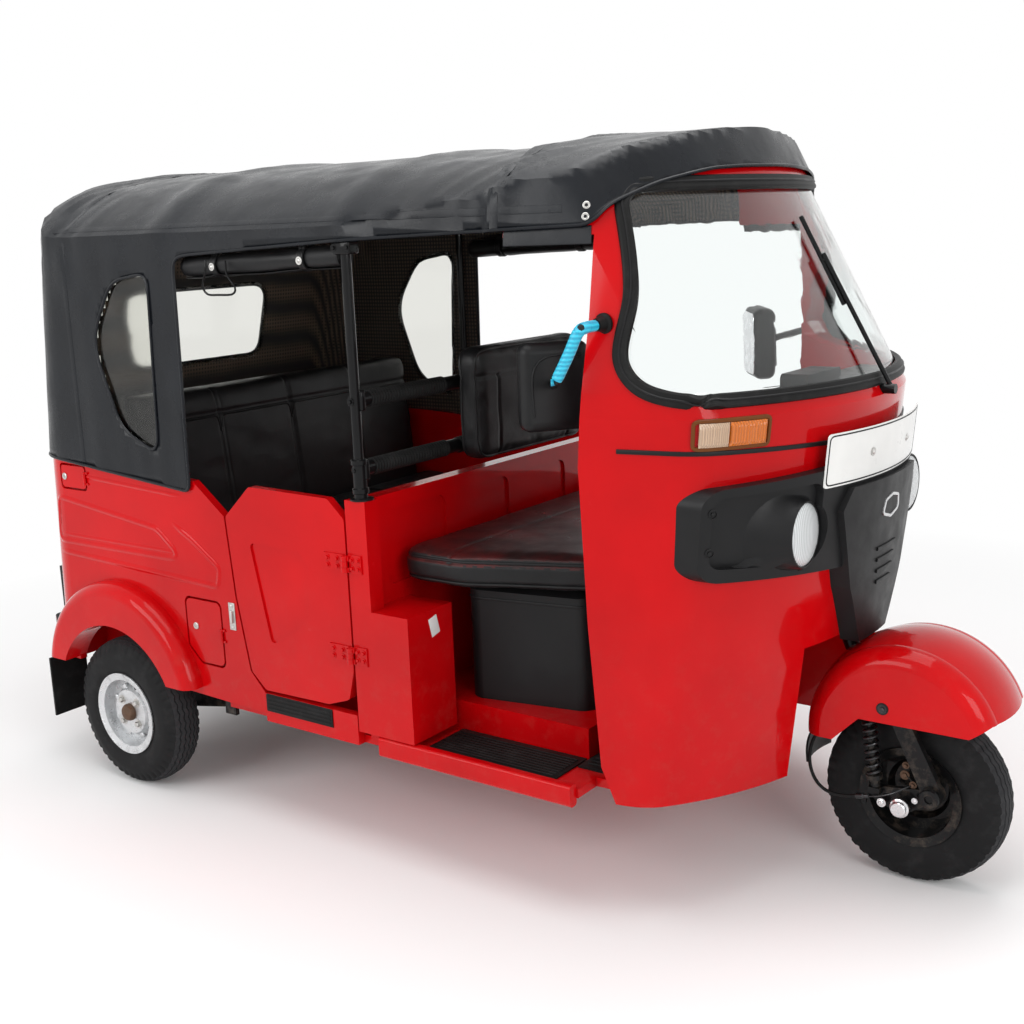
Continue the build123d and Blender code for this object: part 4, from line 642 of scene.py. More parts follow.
def make_cable():
    """The brake cable as one flexible cord from the drum lever up to the head."""
    curve = bpy.data.curves.new("brake_cable_cord", "CURVE")
    curve.dimensions = "3D"
    spline = curve.splines.new("NURBS")
    spline.points.add(len(CABLE_ROUTE) - 1)
    for point, (ahead, left, height) in zip(spline.points, CABLE_ROUTE):
        point.co = (FRONT_X + ahead, left, height, 1.0)
    spline.order_u = 3
    spline.use_endpoint_u = True
    spline.resolution_u = 12
    curve.bevel_depth = CABLE_R
    curve.bevel_resolution = 3
    curve.use_fill_caps = True
    curve.materials.append(soft_rubber)
    return placed("brake_cable_cord", curve)


cable = make_cable()
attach(cable, "steering")
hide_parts("brake_cable")


# ---- Finishes of the CAD nodes that are shown as they are ----------------------------------------
def dress_node(node, look):
    """Gives a CAD node its finish."""
    thing = NODES[node]
    thing.data.materials.clear()
    thing.data.materials.append(look)
    for face in thing.data.polygons:
        face.material_index = 0


SHOWN_AS_BUILT = {
    "front_shell": red,
    "rear_body": red,
    "rear_fenders": red,
    "door_left": red,
    "door_right": red,
    "engine_lid": red,
    "side_hatch": red,
    "filler_flap": red,
    "bulkhead": red,
    "front_fender": red,
    "floor_pan": red,
    "windscreen": glass,
    "lamp_fascia": satin_black,
    "dash_panel": satin_black,
    "mirrors": satin_black,
    "seat_box": satin_black,
    "floor_mat": soft_rubber,
    "mud_flaps": soft_rubber,
    "rear_bumper": black_paint,
    "canopy_frame": black_paint,
    "chassis": black_paint,
    "steering_head": black_paint,
    "rear_suspension": black_paint,
    "fork": black_paint,
    "handlebar": black_paint,
    "wiper": black_paint,
    "engine": cast,
    "number_plate": white_paint,
}
for node, look in SHOWN_AS_BUILT.items():
    dress_node(node, look)


# ---- Floor, backdrop and light -------------------------------------------------------------------
def make_floor():
    """A pale floor that keeps the shadow near the vehicle and fades to white further off."""
    mesh = bpy.data.meshes.new("floor")
    half = 40.0
    corners = [(-half, -half, 0), (half, -half, 0), (half, half, 0), (-half, half, 0)]
    mesh.from_pydata(corners, [], [(0, 1, 2, 3)])
    floor = placed("floor", mesh)
    look = Look("floor_white", (0.93, 0.93, 0.93), 0.7, Specular_IOR_Level=0.12)
    look.set("Base Color", look.mix(look.noise(0.8), (0.94, 0.94, 0.94), (0.92, 0.92, 0.92)))
    level = {0: look.place, 1: (1.0, 1.0, 0.0)}
    flat = add(look.tree, "ShaderNodeVectorMath", level, operation="MULTIPLY")
    reach = add(look.tree, "ShaderNodeVectorMath", {0: flat.outputs[0]}, operation="LENGTH")
    far = look.fit(reach.outputs["Value"], 1.9, 3.3)
    glow = add(look.tree, "ShaderNodeEmission", {"Color": (1, 1, 1, 1), "Strength": 1.0})
    blend = add(
        look.tree, "ShaderNodeMixShader", {0: far, 1: look.bsdf.outputs[0], 2: glow.outputs[0]}
    )
    output = look.tree.nodes["Material Output"]
    look.tree.links.new(blend.outputs[0], output.inputs["Surface"])
    mesh.materials.append(look.mat)


def make_world():
    """White to the eye, in mirrors and through glass, and a dimmer sky for the rest."""
    world = bpy.data.worlds.new("studio")
    bpy.context.scene.world = world
    world.use_nodes = True
    tree = world.node_tree
    back = tree.nodes["Background"]
    rays = add(tree, "ShaderNodeLightPath")
    seen = rays.outputs["Is Camera Ray"]
    for kind in ("Is Glossy Ray", "Is Transmission Ray"):
        either = {0: seen, 1: rays.outputs[kind]}
        seen = add(tree, "ShaderNodeMath", either, operation="MAXIMUM").outputs[0]
    strength = add(
        tree, "ShaderNodeMapRange", {"Value": seen, "To Min": 0.55, "To Max": 1.0}
    ).outputs["Result"]
    back.inputs["Color"].default_value = (1.0, 1.0, 1.0, 1.0)
    tree.links.new(strength, back.inputs["Strength"])


def softbox(name, place, target, size, power):
    light = bpy.data.lights.new(name, "AREA")
    light.shape = "RECTANGLE"
    light.size, light.size_y = size
    light.energy = power
    lamp = placed(name, light)
    lamp.location = place
    aim = Vector(target) - Vector(place)
    lamp.rotation_euler = aim.to_track_quat("-Z", "Y").to_euler()


make_floor()
make_world()
softbox("top_light", (0.2, 0.0, 4.6), (0, 0, 0), (5.0, 3.2), 150)
softbox("side_light", (-1.6, -4.6, 2.6), (0, 0, 0.8), (3.4, 2.0), 95)
softbox("front_light", (4.6, -2.2, 2.2), (0.6, 0, 0.8), (2.4, 1.8), 70)


# ---- Wheels --------------------------------------------------------------------------------------
TREAD_STEPS = 288
ZIGZAG_STEPS = 6
ZIGZAG = 0.0026
GROOVE_HALF = 0.0016
GROOVE_DEPTH = 0.005
CUT_DEPTH = 0.0028
RIB_EDGES = (-0.0285, -0.0145, 0.0, 0.0145, 0.0285)
BEAD_R = 0.103
SHOULDER_R = TYRE_R - 0.010
SHOULDER_Y = TYRE_HALF - 0.012


def crown_radius(across):
    """Tread radius across the tyre, on the arc from shoulder to shoulder."""
    return TYRE_R - 0.010 * (across / SHOULDER_Y) ** 2


def tread_rows():
    """(radius, offset, sways with the zigzag, is a shoulder row) across the whole tyre."""
    rows = []
    side = 14
    for k in range(side + 1):
        t = k / side
        radius = BEAD_R + (SHOULDER_R - BEAD_R) * t
        bulge = math.sin(math.pi * t) * 0.0105
        offset = 0.044 + (SHOULDER_Y - 0.044) * t + bulge
        ring = 0.0008 if k in (4, 5, 9) else 0.0
        rows.append((radius, min(TYRE_HALF, offset + ring), False, k >= side - 2))
    middle = []
    for edge in reversed(RIB_EDGES):
        middle += [
            (crown_radius(edge + GROOVE_HALF * 1.3), edge + GROOVE_HALF * 1.3, True, False),
            (crown_radius(edge) - GROOVE_DEPTH, edge + GROOVE_HALF * 0.7, True, False),
            (crown_radius(edge) - GROOVE_DEPTH, edge - GROOVE_HALF * 0.7, True, False),
            (crown_radius(edge - GROOVE_HALF * 1.3), edge - GROOVE_HALF * 1.3, True, False),
        ]
    shoulder = [(crown_radius(0.0375), 0.0375, False, True)]
    opposite = [(radius, -offset, sway, cut) for radius, offset, sway, cut in reversed(rows)]
    other = [(radius, -offset, sway, cut) for radius, offset, sway, cut in shoulder]
    return rows + shoulder + middle + other + opposite


def make_tyre(node, x, y, body):
    """A ribbed road tyre: zigzag grooves round the tread and short cuts over each shoulder."""
    bm = bmesh.new()
    rings = []
    for radius, offset, sway, cut in tread_rows():
        ring = []
        for k in range(TREAD_STEPS):
            angle = 2 * math.pi * k / TREAD_STEPS
            phase = (k % ZIGZAG_STEPS) / ZIGZAG_STEPS
            swing = ZIGZAG * (4 * abs(phase - 0.5) - 1) if sway else 0.0
            sunk = CUT_DEPTH if cut and k % ZIGZAG_STEPS < 2 and radius > SHOULDER_R - 0.018 else 0.0
            r = radius - sunk
            across = offset + swing - math.copysign(0.4 * sunk, offset)
            ring.append(bm.verts.new((x + r * math.sin(angle), y + across, AXLE_Z + r * math.cos(angle))))
        rings.append(ring)
    rows = tread_rows()
    for i, (low, high) in enumerate(zip(rings, rings[1:] + rings[:1])):
        on_tread = min(rows[i][0], rows[(i + 1) % len(rows)][0]) > SHOULDER_R - 0.001
        for k in range(TREAD_STEPS):
            n = (k + 1) % TREAD_STEPS
            face = bm.faces.new((low[k], high[k], high[n], low[n]))
            face.material_index = 1 if on_tread else 0
    return finish_mesh(f"{node}_treaded", bm, [tyre_rubber, tread_rubber], body, replaces=[node])


def wheel_details(node, x, y, outward, body, look, hub_look):
    """Nuts, hub cap, valve, rolled edge and pressed pads on one rim."""
    bm = bmesh.new()
    out = Vector((0, outward, 0))
    face = Vector((x, y, AXLE_Z))
    for k in range(4):
        angle = math.pi / 4 + k * math.pi / 2
        around = Vector((math.cos(angle), 0, math.sin(angle)))
        bolt(bm, face + around * 0.043 + out * 0.0338, out, 0.0075, 0.009, 1)
    for k in range(8):
        angle = math.pi / 8 + k * math.pi / 4
        around = Vector((math.cos(angle), 0, math.sin(angle)))
        pad = Matrix.Rotation(-angle, 4, "Y")
        rounded_block(bm, face + around * 0.072 + out * 0.0225, (0.016, 0.010, 0.017), 0.004, pad)
    cap = [(0.0, 0.03), (0.024, 0.03), (0.024, 0.042), (0.020, 0.049), (0.012, 0.052), (0, 0.0525)]
    lathe(bm, cap, face, out, 32, 2)
    stem = Vector((math.cos(1.1), 0, math.sin(1.1)))
    tube(bm, [face + stem * 0.088 + out * 0.012, face + stem * 0.084 + out * 0.040], 0.0035, 10, index=3)
    rim_edge = []
    for k in range(96):
        angle = 2 * math.pi * k / 96
        around = Vector((math.cos(angle), 0, math.sin(angle)))
        rim_edge.append(face + around * 0.1128 + out * 0.0505)
    tube(bm, rim_edge, 0.0024, 8, closed=True)
    finish_mesh(f"{node}_details", bm, [look, zinc, hub_look, soft_rubber], body)


hub_brown = metal("rusted_hub", (0.12, 0.07, 0.045), 0.6, 0.6, 0.6, (0.10, 0.035, 0.012)).mat
WHEELS = {
    "front": (FRONT_X, 0.0, 1, "front_wheel", black_paint, black_paint),
    "rear_left": (REAR_X, REAR_TRACK / 2, 1, "rear_wheel_left", silver_paint, hub_brown),
    "rear_right": (REAR_X, -REAR_TRACK / 2, -1, "rear_wheel_right", silver_paint, hub_brown),
}
for where, (x, y, outward, body, look, hub_look) in WHEELS.items():
    side = where.replace("front", "").replace("rear", "")
    tyre_node = "front_tyre" if where == "front" else f"rear_tyre{side}"
    rim_node = "front_rim" if where == "front" else f"rear_rim{side}"
    make_tyre(tyre_node, x, y, body)
    dress_node(rim_node, look)
    wheel_details(rim_node, x, y, outward, body, look, hub_look)


# ---- Nose: lamps, indicators, plate, trim and screen gasket --------------------------------------
NOSE_TREE = node_tree("front_shell")
FASCIA_TREE = node_tree("lamp_fascia", "front_shell")
LAMP_Y = 0.300
LAMP_Z = 0.847
LAMP_R = 0.070
LAMP_FACE_X = FRONT_X - 0.146


def make_headlamp(side):
    """A faceted reflector bowl with its bulb under a ribbed, domed lens in a dark rim."""
    centre = Vector((LAMP_FACE_X, side * LAMP_Y, LAMP_Z))
    name = side_name(side)
    bm = bmesh.new()
    steps, depth = 72, 0.060
    rows = [(LAMP_R - 0.001, -0.004), (LAMP_R - 0.004, -0.006)]
    rows += [(r, -0.006 - depth * (1 - (r / 0.066) ** 2)) for r in (0.064, 0.056, 0.047, 0.037, 0.027, 0.018)]
    rows += [(0.012, -0.064), (0.012, -0.070), (0, -0.070)]
    rings = lathe(bm, rows, centre, (1, 0, 0), steps)
    for ring in rings[2:8]:
        for k, vert in enumerate(ring):
            if k % 6 == 0:
                vert.co.x -= 0.0009
    back = [(0.0, -0.085), (0.030, -0.085), (0.045, -0.078), (0.066, -0.030), (LAMP_R - 0.001, -0.004)]
    lathe(bm, back, centre, (1, 0, 0), steps)
    bmesh.ops.remove_doubles(bm, verts=bm.verts, dist=0.0002)
    finish_mesh(f"headlamp_bowl_{name}", bm, chrome, "body", replaces=["headlamps"])
    bm = bmesh.new()
    bulb = [(0, -0.012), (0.007, -0.014), (0.011, -0.021), (0.011, -0.036), (0.007, -0.046)]
    bulb += [(0.007, -0.062), (0, -0.062)]
    lathe(bm, bulb, centre, (1, 0, 0), 24)
    shield = [(0.0, -0.013), (0.0125, -0.015), (0.0125, -0.024), (0.012, -0.024), (0.012, -0.0155)]
    lathe(bm, [*shield, (0, -0.0135)], centre, (1, 0, 0), 24, 1)
    finish_mesh(f"headlamp_bulb_{name}", bm, [white_paint, zinc], "body")
    bm = bmesh.new()
    edge_r, rise = LAMP_R - 0.0045, 0.012
    dome = [(edge_r, 0.0)]
    dome += [(edge_r * math.cos(a), rise * math.sin(a)) for a in (0.25, 0.5, 0.75, 1.0, 1.25, 1.45)]
    dome += [(0, rise)]
    inner = [(r * 0.985, h - 0.0025) for r, h in dome]
    lathe(bm, dome + inner[::-1], centre, (1, 0, 0), steps)
    bmesh.ops.remove_doubles(bm, verts=bm.verts, dist=0.0002)
    finish_mesh(f"headlamp_lens_{name}", bm, lamp_glass, "body")
    bm = bmesh.new()
    rim = [(0.0655, -0.004), (0.0655, 0.001), (0.0665, 0.0035), (0.0690, 0.0035), (0.0705, 0.001)]
    rim += [(0.0718, -0.004)]
    rings = lathe(bm, rim, centre, (1, 0, 0), steps)
    skirt = []
    for vert in rings[-1]:
        out = (vert.co - centre).normalized()
        outer = side * out.y
        reach = 0.0135 + 0.060 * max(0.0, outer) ** 1.4
        spot, _ = lay(FASCIA_TREE, vert.co + out * reach + Vector((0.4, 0, 0)), (-1, 0, 0))
        if spot is None or spot.x > centre.x:
            spot = vert.co + out * 0.004 - Vector((0.030, 0, 0))
        skirt.append(spot - Vector((0.002, 0, 0)))
    last = rings[-1]
    for level in range(1, 7):
        t = level / 6
        ring = []
        for k in range(steps):
            start, end = rings[-1][k].co, skirt[k]
            spot = start.lerp(end, t)
            spot.x = start.x + (end.x - start.x) * (1 - (1 - t) ** 1.8)
            ring.append(bm.verts.new(spot))
        for k in range(steps):
            n = (k + 1) % steps
            bm.faces.new((last[k], last[n], ring[n], ring[k]))
        last = ring
    finish_mesh(f"headlamp_rim_{name}", bm, satin_black, "body")


def surface_line(tree, outline):
    """Points of a (y, z) outline laid on the nose, seen from the front."""
    spots, normals = [], []
    for y, z in outline:
        spot, normal = lay_front(tree, y, z)
        if spot is not None:
            spots.append(spot)
            normals.append(normal)
    return spots, normals


def make_indicator(side):
    """Amber lamp in a dark brown rim, with a clear end segment and fine upright ribs."""
    name = side_name(side)
    columns, rows = 46, 12
    low_y, high_y, low_z, high_z = 0.372, 0.489, 1.0465, 1.0945
    for label, start, end, look in (("clear", 0.015, 0.385, indicator_clear), ("amber", 0.395, 0.985, amber)):
        bm = bmesh.new()
        grid = []
        for layer, lift in ((0, 0.0006), (1, 0.0115)):
            sheet = []
            for i in range(columns + 1):
                t = start + (end - start) * i / columns
                y = side * (high_y - (high_y - low_y) * t)
                column = []
                for j in range(rows + 1):
                    z = low_z + (high_z - low_z) * j / rows
                    spot, normal = lay_front(NOSE_TREE, y, z)
                    round_off = max(0.0, 1 - min(j, rows - j) / 2) + max(0.0, 1 - min(i, columns - i) / 2)
                    rib = 0.0008 if layer and i % 2 else 0.0
                    rise = lift + layer * (rib - 0.0045 * min(1, round_off))
                    column.append(bm.verts.new(spot + normal * rise))
                sheet.append(column)
            grid.append(sheet)
        for layer in (0, 1):
            for i in range(columns):
                for j in range(rows):
                    s = grid[layer]
                    bm.faces.new((s[i][j], s[i + 1][j], s[i + 1][j + 1], s[i][j + 1]))
        edge = [(i, 0) for i in range(columns)] + [(columns, j) for j in range(rows)]
        edge += [(i, rows) for i in range(columns, 0, -1)] + [(0, j) for j in range(rows, 0, -1)]
        for (a, b), (c, d) in zip(edge, edge[1:] + edge[:1]):
            bm.faces.new((grid[0][a][b], grid[0][c][d], grid[1][c][d], grid[1][a][b]))
        finish_mesh(f"indicator_{label}_{name}", bm, look, "body", replaces=["signal_lamps"])
    bm = bmesh.new()
    corners = [(0.367, 1.0425), (0.493, 1.0425), (0.493, 1.0985), (0.367, 1.0985)]
    outline = [(side * y, z) for y, z in rounded_outline(corners, 0.008, 4)]
    spots, normals = surface_line(NOSE_TREE, dense_line(outline, 0.004))
    ribbon(bm, spots, normals, 0.0042, 0.0062, closed=True)
    finish_mesh(f"indicator_base_{name}", bm, amber_rim, "body")


def make_tail_lamp(side):
    """Square red lamp low on the tail, in a black base, ribbed across."""
    name = side_name(side)
    middle_y, middle_z = side * 0.52, 0.382
    spot, _ = lay(node_tree("signal_lamps"), (-1.5, middle_y, middle_z), (1, 0, 0))
    bm = bmesh.new()
    rounded_block(bm, spot + Vector((0.021, 0, 0)), (0.024, 0.090, 0.090), 0.006)
    finish_mesh(f"tail_lamp_base_{name}", bm, satin_black, "body")
    bm = bmesh.new()
    rounded_block(bm, spot + Vector((0.0062, 0, 0)), (0.0114, 0.082, 0.082), 0.005)
    for k in range(9):
        z = middle_z - 0.034 + k * 0.0085
        tube(bm, [(spot.x + 0.0012, middle_y + y, z) for y in (-0.036, 0.036)], 0.0010, 6)
    finish_mesh(f"tail_lamp_lens_{name}", bm, ruby, "body", replaces=["signal_lamps"])


def evened(points, step):
    """A closed line at even steps, well smoothed."""
    for _ in range(3):
        points = resampled(points, step)
    return points


def outward_normal(tree, spot):
    """The surface normal nearest to a point, turned away from the vehicle's middle."""
    _, normal, _, _ = tree.find_nearest(spot)
    return -normal if normal.dot(spot - Vector((0.3, 0, spot.z))) < 0 else normal


def make_gasket():
    """Thick rubber channel round the windscreen, with its filler strip."""
    half = [(0.516, 1.135), (0.519, 1.215), (0.506, 1.296), (0.446, 1.555)]
    corners = [(-half[0][0], half[0][1]), *half, *[(-y, z) for y, z in half[:0:-1]]]
    outline = rounded_outline(corners, 0.050, 10)
    middle = Vector((0, 1.345))
    spots = []
    for p in dense_line(outline, 0.006):
        outward = (p - middle).normalized() * 0.0022
        spot, normal = lay_front(NOSE_TREE, p.x + outward.x, p.y + outward.y)
        straight = not spots or spot is None or (spot - spots[-1]).length < 0.045
        if spot is not None and spot.x > PILLAR_X - 0.03 and normal.x > 0.12 and straight:
            spots.append(spot)
    spots = evened(evened(spots, 0.012), 0.006)
    normals = [outward_normal(NOSE_TREE, spot) for spot in spots]
    for _ in range(12):
        after = normals[1:] + normals[:1]
        before = normals[-1:] + normals[:-1]
        normals = [(a + n * 2 + b).normalized() for a, n, b in zip(before, normals, after)]
    bm = bmesh.new()
    spots = [s - n * 0.004 for s, n in zip(spots, normals)]
    ribbon(bm, spots, normals, 0.0160, 0.0125, closed=True)
    finish_mesh("screen_gasket", bm, soft_rubber, "body")
    bm = bmesh.new()
    tube(bm, [s + n * 0.0125 for s, n in zip(spots, normals)], 0.0026, 8, closed=True)
    finish_mesh("gasket_filler", bm, satin_black, "body")


def make_trim_strip():
    """Black strip round the nose below the indicators, dipping behind the plate."""
    spots, normals = [], []
    for k in range(81):
        y = -0.56 + 1.12 * k / 80
        spot, normal = lay_front(NOSE_TREE, y, 1.018 + 0.018 * abs(y) / 0.56)
        if spot is None or spot.x < PILLAR_X + 0.02:
            continue
        spots.append(spot)
        normals.append(normal)
    bm = bmesh.new()
    ribbon(bm, spots, normals, 0.0048, 0.0034)
    finish_mesh("nose_trim", bm, satin_black, "body")


def make_fascia_details():
    """Screws beside each lamp, the ribs of the middle panel and the six-sided crest ring."""
    bm = bmesh.new()
    for side in (1, -1):
        for y, z in ((0.488, 0.916), (0.488, 0.836)):
            spot, normal = lay_front(FASCIA_TREE, side * y, z)
            cup = [(0, -0.001), (0.0095, -0.001), (0.0095, 0.002), (0.0078, 0.003), (0.0070, 0.0005)]
            lathe(bm, [*cup, (0, 0.0005)], spot, normal, 24)
            bolt(bm, spot, normal, 0.0042, 0.0032)
    for k in range(4):
        z = 0.690 + 0.026 * k
        half = 0.040 + 0.004 * k
        points = [(-half + 2 * half * i / 12, z) for i in range(13)]
        spots, normals = surface_line(FASCIA_TREE, points)
        ribbon(bm, spots, normals, 0.0042, 0.0036)
    finish_mesh("fascia_details", bm, satin_black, "body")
    bm = bmesh.new()
    crest = [(-0.044, 0.846), (0, 0.834), (0.044, 0.846), (0.036, 0.876), (0, 0.884), (-0.036, 0.876)]
    spots, normals = surface_line(FASCIA_TREE, dense_line(rounded_outline(crest, 0.010, 4), 0.004))
    ribbon(bm, spots, normals, 0.0034, 0.0030, closed=True)
    finish_mesh("nose_crest_ring", bm, steel, "body")


def make_plate_bolts():
    """Two bolts through the blank number plate, and its thin black border."""
    bm = bmesh.new()
    tree = node_tree("number_plate")
    for y in (0.100, -0.100):
        spot, normal = lay_front(tree, y + 0.006, 0.9915)
        spot.y = y
        bolt(bm, spot, normal, 0.0055, 0.004, dome=True)
    corners = [(-0.252, 0.940), (0.252, 0.940), (0.252, 1.043), (-0.252, 1.043)]
    spots, normals = surface_line(tree, dense_line(rounded_outline(corners, 0.012, 5), 0.008))
    ribbon(bm, spots, normals, 0.0016, 0.0007, closed=True, index=1)
    finish_mesh("plate_bolts", bm, [zinc, satin_black], "body")


for side in (1, -1):
    make_headlamp(side)
    make_indicator(side)
    make_tail_lamp(side)
make_gasket()
make_trim_strip()
make_fascia_details()
make_plate_bolts()


# ---- Canopy: one continuous sheet, its panes, lining, bindings and rolled curtains ---------------
HEM_REAR_Z = 0.915
CANOPY_HALF = 0.6103
CANOPY_CORNER = 0.120
TAIL_FOOT_X = -1.2178
TAIL_LEAN = 0.085 / 0.760
CLOTH_OFF = 0.0103
FAN_Z = 1.20
REAR_FAN_X = -0.95
FRONT_FAN_X = 0.42
# Columns: x, height, along the edge of the open side from the hood's foot to the front pillar.
EAVE = [(-0.5725, 0.20), (-0.5475, 1.440), (-0.4875, 1.446), (0.0025, 1.468), (0.6375, 1.483), (0.6375, 0.20)]
HEM = [(-1.6, 0.915), (-1.2075, 0.915), (-0.5475, 0.857), (-0.5475, 0.2), (-1.6, 0.2)]
BROW = [(0.45, 0.0), (0.45, 1.479), (0.5975, 1.479), (0.6245, 1.519), (0.6775, 1.560), (0.7275, 1.586)]
BROW += [(0.7825, 1.596), (2.0, 1.596), (2.0, 0.0)]
# Columns: x ahead of the rear axle, height.
QUARTER_PANE = [(0.245, 1.405), (0.100, 1.385), (0, 1.235), (0.085, 1.005), (0.225, 0.945)]
REAR_PANE = [(-0.250, 1.110), (0.250, 1.110), (0.285, 1.330), (-0.285, 1.330)]
# Columns: height, setback from the front axle, half width at the roof's rear edge, at the pillar.
NOSE_LOW = (1.150, 0.120, 0.585, 0.547)
NOSE_MID = (1.550, 0.335, 0.535, 0.500)
NOSE_HIGH = (1.700, 0.415, 0.520, 0.487)
NOSE_R = 0.750
NOSE_CORNER = 0.130
HOOPS = (POLE_X, REAR_X + 0.290)


def circle_through(a, b, c):
    """Centre and radius of the circle through three points of a plane."""
    ax, ay, bx, by, cx, cy = *a, *b, *c
    d = 2 * (ax * (by - cy) + bx * (cy - ay) + cx * (ay - by))
    sa, sb, sc = ax * ax + ay * ay, bx * bx + by * by, cx * cx + cy * cy
    ux = (sa * (by - cy) + sb * (cy - ay) + sc * (ay - by)) / d
    uy = (sa * (cx - bx) + sb * (ax - cx) + sc * (bx - ax)) / d
    return (ux, uy), math.hypot(ax - ux, ay - uy)


CROWN_ARC = circle_through((-0.38, ROOF_TOP - 0.036), (0, ROOF_TOP), (0.38, ROOF_TOP - 0.036))
SHOULDER_ARC = circle_through((0.38, ROOF_TOP - 0.036), (0.522, ROOF_TOP - 0.097), (0.64, ROOF_TOP - 0.21))
BEND_Z = ROOF_TOP - 0.135
BEND_X = TAIL_FOOT_X + TAIL_LEAN * (BEND_Z - HEM_REAR_Z)
TAIL_ARC = circle_through(
    (BEND_X, BEND_Z), (BEND_X + 0.038, ROOF_TOP - 0.034), (BEND_X + 0.135, ROOF_TOP + 0.001)
)


def over_roof(y, z):
    """How far a point is above the arched roof."""
    y = abs(y)
    centre, radius = CROWN_ARC if y < 0.38 else SHOULDER_ARC
    if z < centre[1]:
        return y - 0.64 if y > 0.5 else -1.0
    return math.hypot(y - centre[0], z - centre[1]) - radius


def outside_hood(x, y, z):
    """How far a point is outside the hood and roof behind the front shell."""
    lean = max(0.0, z - HEM_REAR_Z) * TAIL_LEAN
    rear = TAIL_FOOT_X + lean
    side = abs(y) - CANOPY_HALF
    tail = rear - x
    u, v = side + CANOPY_CORNER, tail + CANOPY_CORNER
    walls = math.hypot(u, v) - CANOPY_CORNER if u > 0 and v > 0 else max(side, tail)
    if z > BEND_Z and x < BEND_X + 0.135:
        bend = math.hypot(x - TAIL_ARC[0][0], z - TAIL_ARC[0][1]) - TAIL_ARC[1]
        walls = max(walls, bend)
    taper = -1.0
    if x > POLE_X:
        share = (x - POLE_X) / (SHELL_ROOF_X - POLE_X)
        taper = abs(y) - (CANOPY_HALF + (0.547 - CANOPY_HALF) * share)
    return max(walls, taper, x - SHELL_ROOF_X, over_roof(y, z))


def outside_brow(x, y, z):
    """How far a point is outside the fabric over the front shell."""
    low, high = (NOSE_LOW, NOSE_MID) if z < NOSE_MID[0] else (NOSE_MID, NOSE_HIGH)
    share = (z - low[0]) / (high[0] - low[0])
    setback, rear_half, pillar_half = (low[k] + (high[k] - low[k]) * share for k in (1, 2, 3))
    spot = Vector((x, abs(y)))
    centre = Vector((FRONT_X - setback - NOSE_R, 0))
    rear = Vector((SHELL_ROOF_X, rear_half))
    along = (Vector((PILLAR_X, pillar_half)) - rear).normalized()
    out = Vector((-along.y, along.x))
    offset = out.dot(rear) - NOSE_CORNER - out.dot(centre)
    corner = centre + out * offset + along * math.sqrt((NOSE_R - NOSE_CORNER) ** 2 - offset**2)
    if (spot - corner).dot(along) > 0 and (spot - corner).cross(corner - centre) < 0:
        plan = (spot - corner).length - NOSE_CORNER
    else:
        plan = max(out.dot(spot - rear), (spot - centre).length - NOSE_R)
    return max(plan - CLOTH_OFF, over_roof(y, z), SHELL_ROOF_X - 0.05 - x)


def outside(spot):
    """How far a point is outside the whole canopy form."""
    hood = outside_hood(*spot)
    if spot[0] < SHELL_ROOF_X - 0.06:
        return hood
    return min(hood, outside_brow(*spot))


def on_cloth(origin, direction):
    """The point where a ray from the roof space leaves the canopy form."""
    low, high = 0.15, 1.1
    for _ in range(22):
        middle = (low + high) / 2
        if outside(origin + direction * middle) > 0:
            high = middle
        else:
            low = middle
    return origin + direction * low


def polygon_distance(outline, x, y):
    """Distance from a point to a closed outline, negative inside it."""
    best, inside = 1e9, False
    for (ax, ay), (bx, by) in zip(outline, outline[1:] + outline[:1]):
        dx, dy = bx - ax, by - ay
        t = max(0.0, min(1.0, ((x - ax) * dx + (y - ay) * dy) / (dx * dx + dy * dy)))
        best = min(best, math.hypot(x - ax - t * dx, y - ay - t * dy))
        if (ay > y) != (by > y) and x < ax + (y - ay) / (by - ay) * dx:
            inside = not inside
    return -best if inside else best


def plain(outline):
    """An outline as pairs of plain numbers."""
    return [(p[0], p[1]) for p in outline]


QUARTER_CORNERS = [0.03, 0.10, 0.14, 0.12, 0.03]
QUARTER_OUTLINE = plain(rounded_outline([(REAR_X + x, z) for x, z in QUARTER_PANE], QUARTER_CORNERS, 8))
REAR_OUTLINE = plain(rounded_outline(REAR_PANE, 0.05, 8))
EAVE_OUTLINE = plain(rounded_outline(EAVE, [0.01, 0.05, 0.3, 0.3, 0.01, 0.01], 6))
BROW_OUTLINE = plain(rounded_outline(BROW, 0.03, 4))


def kept(spot):
    """Distance to the nearest cut of the canopy, positive where there is cloth."""
    x, y, z = spot
    cuts = [polygon_distance(HEM, x, z)]
    if abs(y) > 0.3 and x < 0.64:
        cuts.append(polygon_distance(EAVE_OUTLINE, x, z))
    if abs(y) > 0.3 and x < -0.5:
        cuts.append(polygon_distance(QUARTER_OUTLINE, x, z))
    if x > 0.44:
        cuts.append(polygon_distance(BROW_OUTLINE, x, z))
    if x < -0.9 and abs(y) < 0.5:
        cuts.append(polygon_distance(REAR_OUTLINE, y, z))
    return min(cuts)


